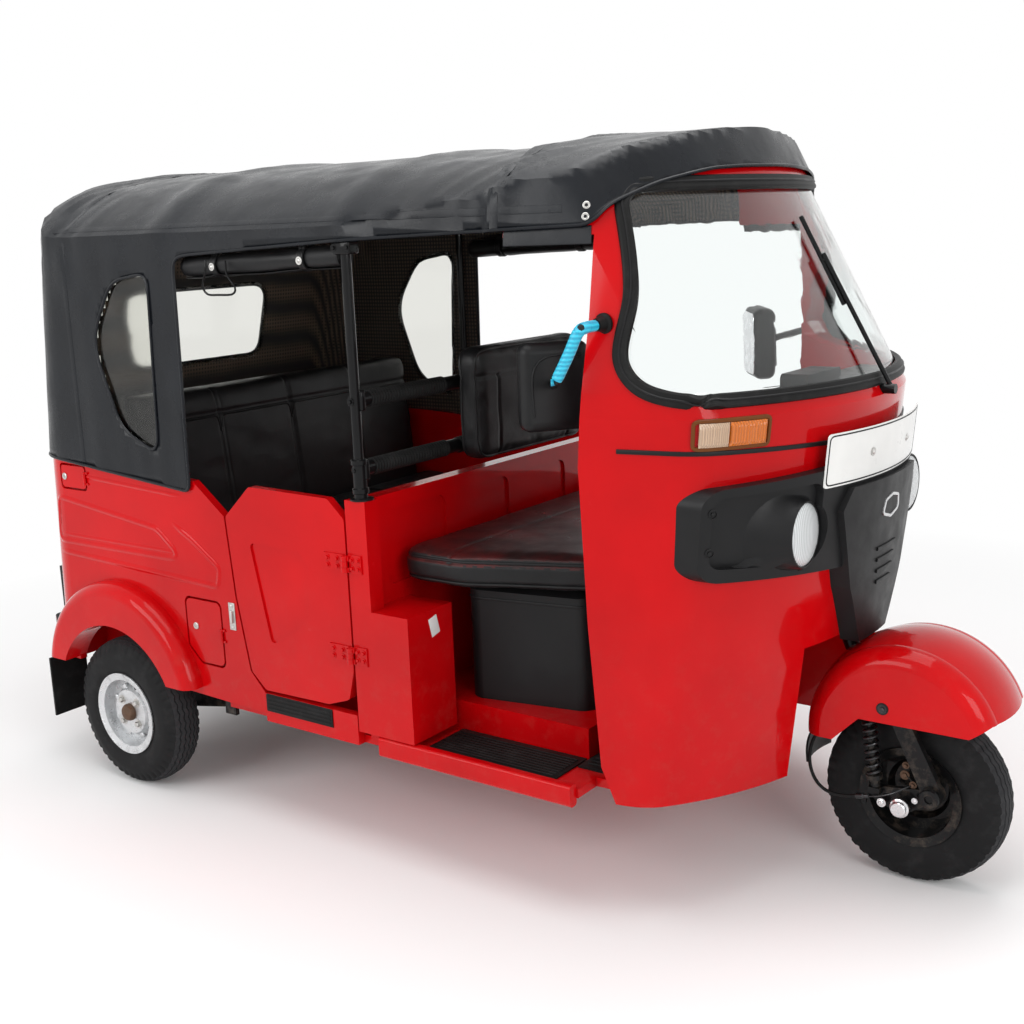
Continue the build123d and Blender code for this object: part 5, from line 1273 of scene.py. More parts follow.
def form_grid(rough_step):
    """Rings of points over the whole canopy form: a tail fan, straight sections and a brow fan."""
    elevations = [math.radians(-48 + 138 * (k / 78)) for k in range(79)]
    sections = []

    def section(origin, across):
        row = []
        for side in (1, -1):
            flat = Vector((across[0], side * across[1], 0))
            half = [
                on_cloth(origin, flat * math.cos(e) + Vector((0, 0, math.sin(e)))) for e in elevations
            ]
            row = half if side == 1 else row + half[-2::-1]
        return row

    count = int((FRONT_FAN_X - REAR_FAN_X) / rough_step)
    for k in range(41):
        turn = math.radians(90 * (1 - k / 40))
        sections.append(section(Vector((REAR_FAN_X, 0, FAN_Z)), (-math.sin(turn), math.cos(turn))))
    for k in range(1, count + 1):
        x = REAR_FAN_X + (FRONT_FAN_X - REAR_FAN_X) * k / count
        sections.append(section(Vector((x, 0, FAN_Z)), (0, 1)))
    for k in range(1, 41):
        turn = math.radians(90 * k / 40)
        sections.append(section(Vector((FRONT_FAN_X, 0, FAN_Z)), (math.sin(turn), math.cos(turn))))
    return sections


def clip_sheet(sections, measure, threshold=0.0):
    """Mesh of the grid's triangles where measure is above a threshold, cut cleanly along it."""
    bm = bmesh.new()
    cache, cuts = {}, {}

    def vertex(key):
        if key not in cache:
            cache[key] = bm.verts.new(sections[key[0]][key[1]])
        return cache[key]

    values = [[measure(p) - threshold for p in row] for row in sections]

    def between(a, b):
        key = (a, b) if a < b else (b, a)
        if key not in cuts:
            va, vb = values[a[0]][a[1]], values[b[0]][b[1]]
            t = min(0.98, max(0.02, va / (va - vb)))
            cuts[key] = bm.verts.new(sections[a[0]][a[1]].lerp(sections[b[0]][b[1]], t))
        return cuts[key]

    for i in range(len(sections) - 1):
        for j in range(len(sections[0]) - 1):
            quad = [(i, j), (i + 1, j), (i + 1, j + 1), (i, j + 1)]
            signs = [values[a][b] > 0 for a, b in quad]
            if all(signs):
                corners = [vertex(key) for key in quad]
            elif not any(signs):
                continue
            else:
                corners = []
                after_keys, after_signs = quad[1:] + quad[:1], signs[1:] + signs[:1]
                for key, after, here, there in zip(quad, after_keys, signs, after_signs):
                    if here:
                        corners.append(vertex(key))
                    if here != there:
                        corners.append(between(key, after))
            if len(corners) > 2:
                bm.faces.new(corners)
    bmesh.ops.remove_doubles(bm, verts=bm.verts, dist=0.0012)
    bmesh.ops.dissolve_degenerate(bm, edges=bm.edges, dist=0.0004)
    return bm


def hoop_lift(x):
    """1 where a hoop holds the roof up, falling to 0 between hoops."""
    edges = (-1.08, HOOPS[1], HOOPS[0], 0.44, 0.70)
    return max(math.exp(-(((x - e) / 0.06) ** 2)) for e in edges)


def cloth_shape(spot):
    """How far the fabric lies inside the stretched form, in metres."""
    x, y, z = spot
    roof = max(0.0, min(1.0, (z - 1.44) / 0.12))
    slack = 0.009 * (1 - hoop_lift(x)) * roof
    ripples = noise.noise(Vector((x * 5.0, y * 14.0, z * 3.0))) * 0.5 + 0.5
    drape = noise.noise(Vector((x * 16.0, y * 3.0, z * 2.2))) * 0.5 + 0.5
    fold = math.exp(-(((x - 0.36) / 0.14) ** 2)) * roof
    corner = math.exp(-(((x + 1.04) / 0.12) ** 2)) * max(0.0, min(1.0, (z - 1.30) / 0.1))
    creases = 0.5 + 0.5 * math.sin(80.0 * x + 42.0 * abs(y) + 11.0 * noise.noise(spot * 3.0))
    edge = max(0.0, 1 - kept(spot) / 0.05)
    gather = (0.5 + 0.5 * math.sin(x * 74.0 + 4.0 * noise.noise(spot * 7.0))) * edge * roof
    total = (
        slack
        + 0.0045 * ripples * (0.35 + 0.65 * roof)
        + 0.004 * drape * (1 - roof)
        + 0.006 * creases * max(fold, corner)
        + 0.0025 * gather
    )
    if x > SHELL_ROOF_X - 0.03:
        bulge = 0.0075 * creases * fold + 0.003 * ripples
        return -bulge
    most = 0.0075 if hoop_lift(x) > 0.6 else 0.018
    return most * math.tanh(total / most)


def edge_loops(bm):
    """Closed loops of points along the sheet's free edges."""
    free = {edge for edge in bm.edges if len(edge.link_faces) == 1}
    loops = []
    while free:
        edge = free.pop()
        start, here = edge.verts
        loop = [start, here]
        while here is not start:
            following = [e for e in here.link_edges if e in free]
            if not following:
                break
            edge = following[0]
            free.discard(edge)
            here = edge.other_vert(here)
            loop.append(here)
        if len(loop) > 12:
            loops.append([(vert.co.copy(), vert.normal.copy()) for vert in loop[:-1]])
    return loops


CLOTH_T = 0.0016


def make_canopy():
    """The whole canopy as one sheet with its lining, and bindings sewn round every edge."""
    bm = clip_sheet(SECTIONS, kept)
    bm.normal_update()
    for vert in bm.verts:
        normal = vert.normal.copy()
        away = Vector((vert.co.x if not -0.95 < vert.co.x < 0.42 else 0, vert.co.y, vert.co.z - 1.0))
        if normal.dot(away) < 0:
            normal.negate()
        vert.co -= normal * (0.0010 + cloth_shape(vert.co.copy()))
    loops = edge_loops(bm)
    canopy = finish_mesh(
        "canopy_sheet", bm, [canopy_vinyl, lining], "body", replaces=["canopy"]
    )
    flip_outward(canopy)
    thicken(canopy, CLOTH_T, -1.0, material_offset=1, use_rim=True)
    bm = bmesh.new()
    for loop in loops:
        points = resampled([spot for spot, _ in loop], 0.009)
        tube(bm, points, 0.0040, 8, closed=True)
    finish_mesh("canopy_binding", bm, canopy_vinyl, "body")
    return canopy


def flip_outward(piece):
    """Turns the whole sheet's faces away from the vehicle's middle."""
    mesh = piece.data
    score = 0.0
    for face in mesh.polygons:
        away = face.center - Vector((min(0.42, max(-0.95, face.center.x)), 0, 1.0))
        score += face.area * (1 if face.normal.dot(away) > 0 else -1)
    if score < 0:
        mesh.flip_normals()


SECTIONS = form_grid(0.0135)
canopy = make_canopy()
CLOTH_TREE = tree_of(canopy)


def cloth_band(bm, origins, half, thick):
    """A sewn band on the cloth, along rays cast at it from outside."""
    spots, normals = [], []
    for origin, direction in origins:
        spot, normal = lay(CLOTH_TREE, origin, direction)
        if spot is not None:
            spots.append(spot)
            normals.append(normal)
    smooth = resampled(spots, 0.012, False)
    fitted = []
    for spot in smooth:
        nearest = min(range(len(spots)), key=lambda k: (spots[k] - spot).length)
        fitted.append(normals[nearest])
    ribbon(bm, [s - n * 0.0004 for s, n in zip(smooth, fitted)], fitted, half, thick)


def make_seams():
    """Overlap seams: along both shoulders, round the tail's corners and over the roof."""
    bm = bmesh.new()
    for side in (1, -1):
        line = [((-1.16 + 0.0125 * k, side * 1.2, 1.515), (0, -side, 0)) for k in range(150)]
        line = [ray for ray in line if ray[0][0] < 0.55]
        cloth_band(bm, line, 0.0085, 0.0011)
        upright = [((-0.985, side * 1.2, 0.905 + 0.0125 * k), (0, -side, 0)) for k in range(50)]
        cloth_band(bm, upright, 0.0085, 0.0011)
        rear = [((-2.0, side * 0.485, 0.93 + 0.0125 * k), (1, 0, 0)) for k in range(52)]
        cloth_band(bm, rear, 0.0085, 0.0011)
    for x in (-0.985, 0.395):
        over = []
        for k in range(121):
            angle = math.radians(20 + 140 * k / 120)
            out = Vector((0, math.cos(angle), math.sin(angle)))
            over.append((Vector((x, 0, 1.1)) + out * 1.4, -out))
        cloth_band(bm, over, 0.0095, 0.0012)
    finish_mesh("canopy_seams", bm, canopy_vinyl, "body")


make_seams()


def make_pane(name, outline_measure):
    """Clear sheet behind the cloth, a little wavy, held by a sewn border."""
    bm = clip_sheet(SECTIONS, outline_measure, -0.010)
    bm.normal_update()
    for vert in bm.verts:
        normal = vert.normal.copy()
        away = Vector((vert.co.x + 0.9 if abs(vert.co.y) < 0.5 else 0, vert.co.y, 0))
        if normal.dot(away) < 0:
            normal.negate()
        ripple = noise.noise(Vector((vert.co.x * 8.0, vert.co.y * 6.0, vert.co.z * 5.0)))
        vert.co -= normal * (0.0078 + cloth_shape(vert.co.copy()) * 0.7 + 0.0016 * ripple)
    pane = finish_mesh(name, bm, clear_sheet, "body", replaces=["window_panes"])
    thicken(pane, 0.0007)
    return pane


def in_quarter(side):
    """A measure that is positive inside one side's quarter window."""

    def measure(spot):
        if spot.y * side < 0.4 or spot.x > -0.5:
            return -1.0
        return -polygon_distance(QUARTER_OUTLINE, spot.x, spot.z)

    return measure


def in_rear(spot):
    """Positive inside the rear window."""
    if spot.x > -0.95 or abs(spot.y) > 0.5:
        return -1.0
    return -polygon_distance(REAR_OUTLINE, spot.y, spot.z)


panes = [
    make_pane("quarter_pane_left", in_quarter(1)),
    make_pane("quarter_pane_right", in_quarter(-1)),
    make_pane("rear_pane", in_rear),
]


CURTAIN_START, CURTAIN_END = -0.533, -0.0125
STRAP_SHARES = (0.22, 0.78)


def curtain_middle(side, share):
    """Middle of the rolled curtain at a share of its length."""
    x = CURTAIN_START + (CURTAIN_END - CURTAIN_START) * share
    return Vector((x, side * 0.568, 1.416 + 0.018 * share))


def make_curtain(side):
    """A side curtain rolled up in four turns under the eave, bunched between its straps."""
    name = side_name(side)
    turns, around, along = 4.2, 190, 66
    bm = bmesh.new()
    grid = []
    for i in range(along + 1):
        t = i / along
        x = CURTAIN_START + (CURTAIN_END - CURTAIN_START) * t
        centre = curtain_middle(side, t)
        strap = 1 - 0.16 * sum(math.exp(-(((t - s) / 0.03) ** 2)) for s in STRAP_SHARES)
        row = []
        for k in range(around + 1):
            wind = k / around
            angle = side * (2 * math.pi * turns * wind + 0.8)
            radius = (0.008 + 0.0205 * wind) * strap
            bunch = noise.noise(Vector((x * 13.0, math.cos(angle) * 1.6, math.sin(angle) * 1.6 + side)))
            radius *= 1 + 0.085 * bunch * wind
            row.append(bm.verts.new(centre + Vector((0, math.cos(angle), math.sin(angle))) * radius))
        grid.append(row)
    for low, high in zip(grid, grid[1:]):
        for k in range(around):
            bm.faces.new((low[k], low[k + 1], high[k + 1], high[k]))
    curtain = finish_mesh(
        f"rolled_curtain_{name}", bm, seat_vinyl, "body", replaces=["rolled_curtains"]
    )
    thicken(curtain, 0.0011)
    bm = bmesh.new()
    for share in STRAP_SHARES:
        centre = curtain_middle(side, share)
        loop = []
        for k in range(48):
            angle = 2 * math.pi * k / 48
            lift = 0.012 if math.sin(angle) > 0.86 else 0.0
            loop.append(centre + Vector((0, math.cos(angle) * 0.0262, math.sin(angle) * 0.0262 + lift)))
        for shift in (-0.007, -0.0025, 0.0025, 0.007):
            tube(bm, [p + Vector((shift, 0, 0)) for p in loop], 0.0030, 6, closed=True)
        bolt(bm, centre + Vector((0, side * 0.0285, -0.004)), (0, side, 0), 0.0055, 0.003, 1, True)
    straps = finish_mesh(f"curtain_straps_{name}", bm, [seat_vinyl, zinc], "body")
    return curtain, straps


def make_wire_loop():
    """Bent wire hanger that swings below the right-hand curtain."""
    points = [
        (-0.435, -0.600, 1.432),
        (-0.437, -0.602, 1.404),
        (-0.452, -0.600, 1.372),
        (-0.440, -0.598, 1.352),
        (-0.400, -0.598, 1.350),
        (-0.352, -0.598, 1.352),
        (-0.340, -0.600, 1.368),
        (-0.362, -0.602, 1.398),
        (-0.366, -0.600, 1.430),
    ]
    bm = bmesh.new()
    tube(bm, smooth_path(points, 0.006), 0.0026, 8)
    finish_mesh("curtain_wire_loop", bm, black_paint, "body")


def make_eyelets():
    """Two metal eyelets one above the other near each front corner of the canopy."""
    bm = bmesh.new()
    rows = [(0.0034, -0.0006), (0.0078, -0.0006), (0.0078, 0.0008), (0.0064, 0.0017), (0.0046, 0.0017)]
    rows += [(0.0034, 0.0008), (0.0034, -0.0006)]
    for side in (1, -1):
        for z in (1.4975, 1.5195):
            spot, normal = lay(CLOTH_TREE, (0.588, side * 1.2, z), (0, -side, 0))
            lathe(bm, rows, spot, normal, 24)
    finish_mesh("canopy_eyelets", bm, zinc, "body")


curtains = [make_curtain(1), make_curtain(-1)]
make_wire_loop()
make_eyelets()


# ---- Seats: puffed pads with seams and piping ----------------------------------------------------
PAD_PRESSURE = 5.0


def puffed(name, node, look, shrink, voxel):
    """A padded cover grown from the CAD pad: shrunk a little, remeshed and blown up as cloth."""
    mesh = NODES[node].data.copy()
    mesh.materials.clear()
    pad = placed(name, mesh)
    low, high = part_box(node)
    middle = (low + high) / 2
    for vert in mesh.vertices:
        for k in range(3):
            reach = (high[k] - low[k]) / 2
            vert.co[k] = middle[k] + (vert.co[k] - middle[k]) * (reach - shrink) / reach
    modify(pad, "REMESH", mode="VOXEL", voxel_size=voxel, use_smooth_shade=True)
    apply_modifiers(pad)
    modify(pad, "SMOOTH", factor=0.6, iterations=14)
    apply_modifiers(pad)
    cloth = modify(pad, "CLOTH")
    cloth.settings.quality = 3
    cloth.settings.mass = 0.3
    cloth.settings.tension_stiffness = 18
    cloth.settings.compression_stiffness = 18
    cloth.settings.bending_stiffness = 0.6
    cloth.settings.effector_weights.gravity = 0.0
    cloth.settings.use_pressure = True
    cloth.settings.uniform_pressure_force = PAD_PRESSURE
    cloth.collision_settings.use_collision = False
    scene = bpy.context.scene
    rest = [vert.co.copy() for vert in pad.data.vertices]
    for number in range(1, 15):
        scene.frame_set(number)
    apply_modifiers(pad)
    scene.frame_set(1)
    most = shrink * 1.15
    for vert, before in zip(pad.data.vertices, rest):
        moved = vert.co - before
        if moved.length > most:
            vert.co = before + moved.normalized() * most
    modify(pad, "SUBSURF", levels=1, render_levels=1)
    apply_modifiers(pad)
    pad.data.materials.clear()
    pad.data.materials.append(look)
    shade_smooth(pad.data)
    return pad


def press_line(pad, test, depth, width):
    """Presses a sewn channel into a pad where test(point) gives the distance to its line."""
    mesh = pad.data
    normals = [vert.normal.copy() for vert in mesh.vertices]
    for vert, normal in zip(mesh.vertices, normals):
        far = test(vert.co, normal)
        if far is not None and abs(far) < width:
            share = math.cos(0.5 * math.pi * far / width)
            vert.co -= normal * depth * share**1.5


def add_creases(pad, depth, scale):
    """Shallow random creases over a pad's cover."""
    normals = [vert.normal.copy() for vert in pad.data.vertices]
    for vert, normal in zip(pad.data.vertices, normals):
        spot = vert.co
        fold = noise.noise(Vector((spot.x * scale, spot.y * scale * 0.45, spot.z * scale)))
        vert.co -= normal * depth * max(0.0, fold)


def piping(name, tree, rays, radius, look, body):
    """Round piping sewn along rays cast at a pad."""
    bm = bmesh.new()
    for line, closed in rays:
        spots = []
        for origin, direction in line:
            spot, normal = lay(tree, origin, direction)
            if spot is not None:
                spots.append(spot + normal * radius * 0.2)
        if len(spots) > 3:
            tube(bm, resampled(spots, 0.006, closed), radius, 8, closed=closed)
    finish_mesh(name, bm, look, body)


def settle(pad, body, node):
    """Attaches a pad to its body, hides its CAD node and updates its mesh."""
    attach(pad, body)
    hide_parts(node)
    pad.data.update()


def make_bench_cushion():
    """Wide bench pad: a sewn border round its top and two cross seams."""
    pad = puffed("bench_cushion_pad", "bench_cushion", seat_vinyl, 0.006, 0.0105)
    press_line(pad, lambda p, n: abs(p.y) - 0.185 if n.z > 0.3 or n.x > 0.6 else None, 0.0055, 0.010)
    press_line(pad, lambda p, n: p.z - 0.688 if abs(n.z) < 0.8 else None, 0.0035, 0.008)
    add_creases(pad, 0.0035, 17.0)
    settle(pad, "body", "bench_cushion")
    tree = tree_of(pad)
    lines = []
    for z in (0.690, 0.616):
        lines.append(([((-0.2, -0.545 + 1.09 * k / 90, z), (-1, 0, 0)) for k in range(91)], False))
    piping("bench_cushion_piping", tree, lines, 0.0032, seat_vinyl, "body")


def make_bench_back():
    """Leaning squab with three upright channels and a piped top edge."""
    pad = puffed("bench_back_pad", "bench_back", seat_vinyl, 0.006, 0.0110)
    for y in (-0.276, 0.0, 0.276):
        press_line(pad, lambda p, n, y=y: p.y - y if n.x > 0.4 else None, 0.006, 0.010)
    press_line(pad, lambda p, n: p.z - 1.005 if n.x > 0.4 else None, 0.005, 0.009)
    add_creases(pad, 0.0035, 15.0)
    settle(pad, "body", "bench_back")
    tree = tree_of(pad)
    top = [((-0.80, -0.54 + 1.08 * k / 90, 1.3), (0, 0, -1)) for k in range(91)]
    piping("bench_back_piping", tree, [(top, False)], 0.0030, seat_vinyl, "body")


def make_driver_cushion():
    """Driver's pad: a painted dark red sheen on its top faces, black vinyl on its sides, a black sewn edge
    and a seam from side to side.
    """
    pad = puffed("driver_cushion_pad", "driver_cushion", sheen_painted_vinyl, 0.006, 0.0100)
    low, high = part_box("driver_cushion")
    press_line(pad, lambda p, n: p.z - (high.z - 0.022) if abs(n.z) < 0.75 else None, 0.0045, 0.008)
    press_line(pad, lambda p, n: p.z - (low.z + 0.018) if abs(n.z) < 0.75 else None, 0.003, 0.007)
    press_line(pad, lambda p, n: p.x - 0.175 if n.z > 0.5 else None, 0.003, 0.007)
    add_creases(pad, 0.003, 15.0)
    # Faces turned upwards keep the painted dark red sheen; the sides get the plain black vinyl.
    pad.data.materials.append(seat_vinyl)
    for face in pad.data.polygons:
        if face.normal.z < 0.6:
            face.material_index = 1
    settle(pad, "body", "driver_cushion")
    tree = tree_of(pad)
    rings = []
    for z in (high.z - 0.021, low.z + 0.016):
        ring = []
        for k in range(240):
            angle = 2 * math.pi * k / 240
            out = Vector((math.cos(angle), math.sin(angle), 0))
            ring.append((Vector((0.27, 0, z)) + out * 1.2, -out))
        rings.append((ring, True))
    piping("driver_cushion_piping", tree, rings, 0.0032, seat_vinyl, "body")


def make_driver_backrest():
    """Upright pad with a raised middle panel and piping round its face."""
    pad = puffed("driver_backrest_pad", "driver_backrest", seat_vinyl, 0.005, 0.0078)
    low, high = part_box("driver_backrest")
    press_line(pad, lambda p, n: p.z - 1.128 if abs(n.x) > 0.4 else None, 0.005, 0.008)
    press_line(pad, lambda p, n: abs(p.y) - 0.150 if abs(n.x) > 0.4 and p.z < 1.128 else None, 0.0035, 0.007)
    add_creases(pad, 0.0028, 20.0)
    settle(pad, "body", "driver_backrest")
    tree = tree_of(pad)
    half, foot, head = 0.226, low.z + 0.016, high.z - 0.016
    outline = rounded_outline([(-half, foot), (half, foot), (half, head), (-half, head)], 0.035, 8)
    dense = resampled([Vector((0, p[0], p[1])) for p in outline], 0.008)
    rings = []
    for x, direction in ((0.5, -1), (-0.5, 1)):
        rings.append(([(Vector((x, p.y, p.z)), (direction, 0, 0)) for p in dense], True))
    piping("driver_backrest_piping", tree, rings, 0.0034, seat_vinyl, "body")


make_bench_cushion()
make_bench_back()
make_driver_cushion()
make_driver_backrest()


# ---- Body details: doors, hinges, pressed lines, steps, bars and boxes ---------------------------
BODY_TREE = node_tree("rear_body", "bulkhead", "floor_pan")
HINGE_HEIGHTS = (0.512, 0.735)
BAR_HEIGHTS = (0.955, 1.112)
POLE_Y = 0.581


def side_line(tree, outline, side, lift=0.0, step=0.008, closed=False, radius=0.0):
    """Points of an (x, z) outline laid on one flank of the vehicle, with their normals."""
    if radius:
        outline = plain(rounded_outline(outline, radius, 6))
    dense = resampled([Vector((x, 0, z)) for x, z in outline], step, closed)
    spots, normals = [], []
    for p in dense:
        spot, normal = lay_side(tree, p.x, p.z, side, lift)
        if spot is not None:
            spots.append(spot)
            normals.append(normal)
    return spots, normals


def swage(bm, tree, outline, side, half, height, closed=True):
    """A pressed line that stands a little proud of a panel, with soft shoulders."""
    spots, normals = side_line(tree, outline, side, 0.0, 0.008, closed, 0.02 if closed else 0)
    if len(spots) < 4:
        return
    count = len(spots)
    rings = []
    for i, (spot, normal) in enumerate(zip(spots, normals)):
        ahead = spots[(i + 1) % count] if closed or i + 1 < count else spot
        behind = spots[i - 1] if closed or i > 0 else spot
        across = (ahead - behind).normalized().cross(normal).normalized()
        fade = 1.0 if closed else min(1.0, i / 6, (count - 1 - i) / 6)
        ring = []
        for k in range(9):
            t = k / 4 - 1
            rise = height * fade * (0.5 + 0.5 * math.cos(math.pi * t)) - 0.0003
            ring.append(bm.verts.new(spot + across * half * t + normal * rise))
        rings.append(ring)
    pairs = list(zip(rings, rings[1:]))
    if closed:
        pairs.append((rings[-1], rings[0]))
    for low, high in pairs:
        for k in range(8):
            bm.faces.new((low[k], low[k + 1], high[k + 1], high[k]))
    for low, high in pairs:
        bm.faces.new((low[0], high[0], high[8], low[8]))


# (x, height) points of the pressed lines on each rear quarter.
UPPER_CREASE = [(-1.130, 0.797), (-0.715, 0.747), (-0.617, 0.672), (-1.148, 0.671)]
LOWER_CREASE = [(-1.152, 0.640), (-0.492, 0.617), (-0.482, 0.667), (-0.572, 0.727), (-0.655, 0.770)]

MIDDLE_LINE = [(-1.135, 0.690), (-0.64, 0.690)]
BELT_LINE = [(-1.11, 0.868), (-0.60, 0.842)]


def make_quarter_lines():
    """The pressed lines of both rear quarters."""
    bm = bmesh.new()
    tree = node_tree("rear_body")
    for side in (1, -1):
        swage(bm, tree, UPPER_CREASE, side, 0.011, 0.0032)
        swage(bm, tree, LOWER_CREASE, side, 0.011, 0.0032, closed=False)
        swage(bm, tree, MIDDLE_LINE, side, 0.007, 0.002, closed=False)
        swage(bm, tree, BELT_LINE, side, 0.008, 0.003, closed=False)
    finish_mesh("quarter_swages", bm, red, "body")


def make_door_details(side):
    """Hinge bolts on the door's leaves."""
    name = side_name(side)
    tree = node_tree(f"door_{name}")
    bm = bmesh.new()
    for z in HINGE_HEIGHTS:
        for x in (-0.096, -0.066):
            for shift in (0.009, -0.009):
                spot, normal = lay_side(tree, x, z + shift, side)
                if spot is not None:
                    bolt(bm, spot, normal, 0.0048, 0.004)
    finish_mesh(f"door_bolts_{name}", bm, red, f"door_{name}")


def make_strikers():
    """Zinc latch strikers on the quarter panels behind the doors."""
    bm = bmesh.new()
    tree = node_tree("rear_body")
    for side in (1, -1):
        spot, normal = lay_side(tree, -0.4475, 0.546, side)
        if spot is None:
            continue
        rounded_block(bm, spot + normal * 0.0012, (0.022, 0.003, 0.072), 0.0012)
        rounded_block(bm, spot + normal * 0.006 + Vector((0.002, 0, 0)), (0.009, 0.010, 0.034), 0.003)
        for z in (-0.028, 0.028):
            bolt(bm, spot + normal * 0.0024 + Vector((0, 0, z)), normal, 0.0036, 0.0026, 0, True)
    finish_mesh("latch_strikers", bm, zinc, "body")


def make_hinge_bolts():
    """Bolts and washers on the body's hinge leaves."""
    bm = bmesh.new()
    tree = node_tree("bulkhead")
    for side in (1, -1):
        for z in HINGE_HEIGHTS:
            for x, shift in ((-0.019, 0.010), (0.0, 0.010), (-0.019, -0.010), (0.0, -0.010)):
                spot, normal = lay_side(tree, x, z + shift, side)
                bolt(bm, spot, normal, 0.0045, 0.004)
    finish_mesh("hinge_bolts", bm, red, "body")


def ribbed_mat(bm, low, high, z, pitch=0.012, thick=0.004):
    """A thin mat with lengthways ribs and a plain rim."""
    middle = (Vector(low) + Vector(high)) / 2
    size = Vector(high) - Vector(low)
    rounded_block(bm, Vector((middle.x, middle.y, z + thick / 2)), (size.x, size.y, thick), 0.0015)
    count = int((size.y - 0.02) / pitch)
    for k in range(count):
        centre = Vector((middle.x, middle.y + (k - (count - 1) / 2) * pitch, z + thick + 0.0008))
        rounded_block(bm, centre, (size.x - 0.022, pitch * 0.5, 0.003), 0.001, segments=1)


def make_mats():
    """Ribbed rubber on both steps, under the doors and over the driver's floor."""
    bm = bmesh.new()
    for side in (1, -1):
        low_y, high_y = sorted((side * 0.434, side * 0.573))
        ribbed_mat(bm, (0.150, low_y), (0.505, high_y), SILL_Z + 0.0003)
    ribbed_mat(bm, (0.512, -0.476), (0.625, 0.476), 0.3088, 0.016, 0.0014)
    finish_mesh("step_mats", bm, soft_rubber, "body")
    bm = bmesh.new()
    for side in (1, -1):
        spots, normals = side_line(BODY_TREE, [(-0.345, 0.336), (-0.118, 0.336)], side)
        ribbon(bm, spots, normals, 0.0235, 0.0030)
        for z in (0.322, 0.332, 0.342, 0.352):
            spots, normals = side_line(BODY_TREE, [(-0.338, z), (-0.124, z)], side, 0.0026)
            ribbon(bm, spots, normals, 0.0022, 0.0018)
    finish_mesh("sill_treads", bm, soft_rubber, "body")


def make_bars():
    """Ribbed rubber sleeves on both cross bars, with end collars."""
    bm = bmesh.new()
    right, middle, left = (-0.535, -0.262), (-0.215, 0.215), (0.262, 0.535)
    for z, sleeves in zip(BAR_HEIGHTS, ((right, middle, left), (right, left))):
        for start, end in sleeves:
            rows, count = [], int((end - start) / 0.0095)
            for k in range(count):
                at = (end - start) * k / count
                rows += [(0.0180, at), (0.0205, at + 0.0022), (0.0205, at + 0.0058), (0.0180, at + 0.0080)]
            rows = [(0.0172, 0.0), *rows, (0.0172, end - start)]
            lathe(bm, rows, (-0.0035, start, z), (0, 1, 0), 22)
    finish_mesh("bar_sleeves", bm, soft_rubber, "body")
    bm = bmesh.new()
    for side in (1, -1):
        for z in BAR_HEIGHTS:
            rounded_block(bm, Vector((0.0015, side * 0.572, z)), (0.040, 0.016, 0.046), 0.005)
            bolt(bm, Vector((0.0005, side * 0.5945, z)), (0, side, 0), 0.0055, 0.005)
        spot = Vector((POLE_X, side * POLE_Y, 1.452))
        rounded_block(bm, spot, (0.052, 0.034, 0.030), 0.005)
        rounded_block(bm, spot + Vector((0, side * 0.006, 0.020)), (0.074, 0.020, 0.012), 0.004)
        for x in (-0.020, 0.020):
            bolt(bm, spot + Vector((x, side * 0.0166, 0)), (0, side, 0), 0.005, 0.004)
        collar = [(0.0165, 0.0), (0.0195, 0.002), (0.0195, 0.012), (0.0165, 0.014)]
        for z in (0.966, 0.900):
            lathe(bm, collar, (POLE_X, side * POLE_Y, z), (0, 0, 1), 32)
        flange = [(0.0, 0.0), (0.028, 0.0), (0.028, 0.004), (0.0165, 0.0055)]
        lathe(bm, flange, (POLE_X, side * 0.579, BELT_Z), (0, 0, 1), 32)
    finish_mesh("pole_fittings", bm, black_paint, "body")


def make_seat_box_details():
    """Louvre lines on the seat box's front, its lid seam, and a blank white tag."""
    tree = node_tree("seat_box")
    bm = bmesh.new()
    for row in range(4):
        spots, normals = [], []
        for k in range(41):
            spot, normal = lay(tree, (1.5, -0.205 + 0.41 * k / 40, 0.448 + 0.030 * row), (-1, 0, 0))
            spots.append(spot)
            normals.append(normal)
        ribbon(bm, spots, normals, 0.0050, 0.0034)
    ring, normals = [], []
    for k in range(160):
        angle = 2 * math.pi * k / 160
        out = Vector((math.cos(angle), math.sin(angle), 0))
        spot, normal = lay(tree, Vector((0.32, 0, 0.628)) + out, -out)
        ring.append(spot)
        normals.append(normal)
    ribbon(bm, ring, normals, 0.0035, 0.0022, closed=True)
    finish_mesh("seat_box_lines", bm, satin_black, "body")
    bm = bmesh.new()
    tilt = Matrix.Rotation(0.25, 4, "X")
    rounded_block(bm, Vector((0.1385, -0.508, 0.585)), (0.0012, 0.030, 0.046), 0.0005, tilt)
    finish_mesh("blank_tag", bm, white_paint, "body")


def make_small_lids():
    """Locks on the side hatch and the filler flap, and the tail lid's latch."""
    lock = [(0, -0.001), (0.0095, -0.001), (0.0095, 0.0025), (0.0080, 0.0036), (0.0045, 0.0036)]
    lock += [(0.0045, 0.0022), (0, 0.0022)]
    for node, x, z in (("side_hatch", -0.590, 0.500), ("filler_flap", -1.085, 0.856)):
        bm = bmesh.new()
        spot, normal = lay_side(node_tree(node), x, z, -1)
        if spot is None:
            continue
        lathe(bm, lock, spot, normal, 28)
        rounded_block(bm, spot + normal * 0.0024, (0.0014, 0.0012, 0.0060), 0.0004)
        finish_mesh(f"{node}_lock", bm, zinc, node)
    bm = bmesh.new()
    spot, normal = lay(node_tree("engine_lid"), (-1.5, 0.0, 0.615), (1, 0, 0))
    rounded_block(bm, spot + normal * 0.004, (0.010, 0.090, 0.020), 0.004)
    knob = [(0, -0.001), (0.011, -0.001), (0.011, 0.009), (0.0085, 0.011), (0, 0.011)]
    lathe(bm, knob, spot + Vector((0, 0, 0.034)), normal, 28)
    finish_mesh("engine_lid_latch", bm, satin_black, "engine_lid")


make_quarter_lines()
for side in (1, -1):
    make_door_details(side)
make_strikers()
make_hinge_bolts()
make_mats()
make_bars()
make_seat_box_details()
make_small_lids()


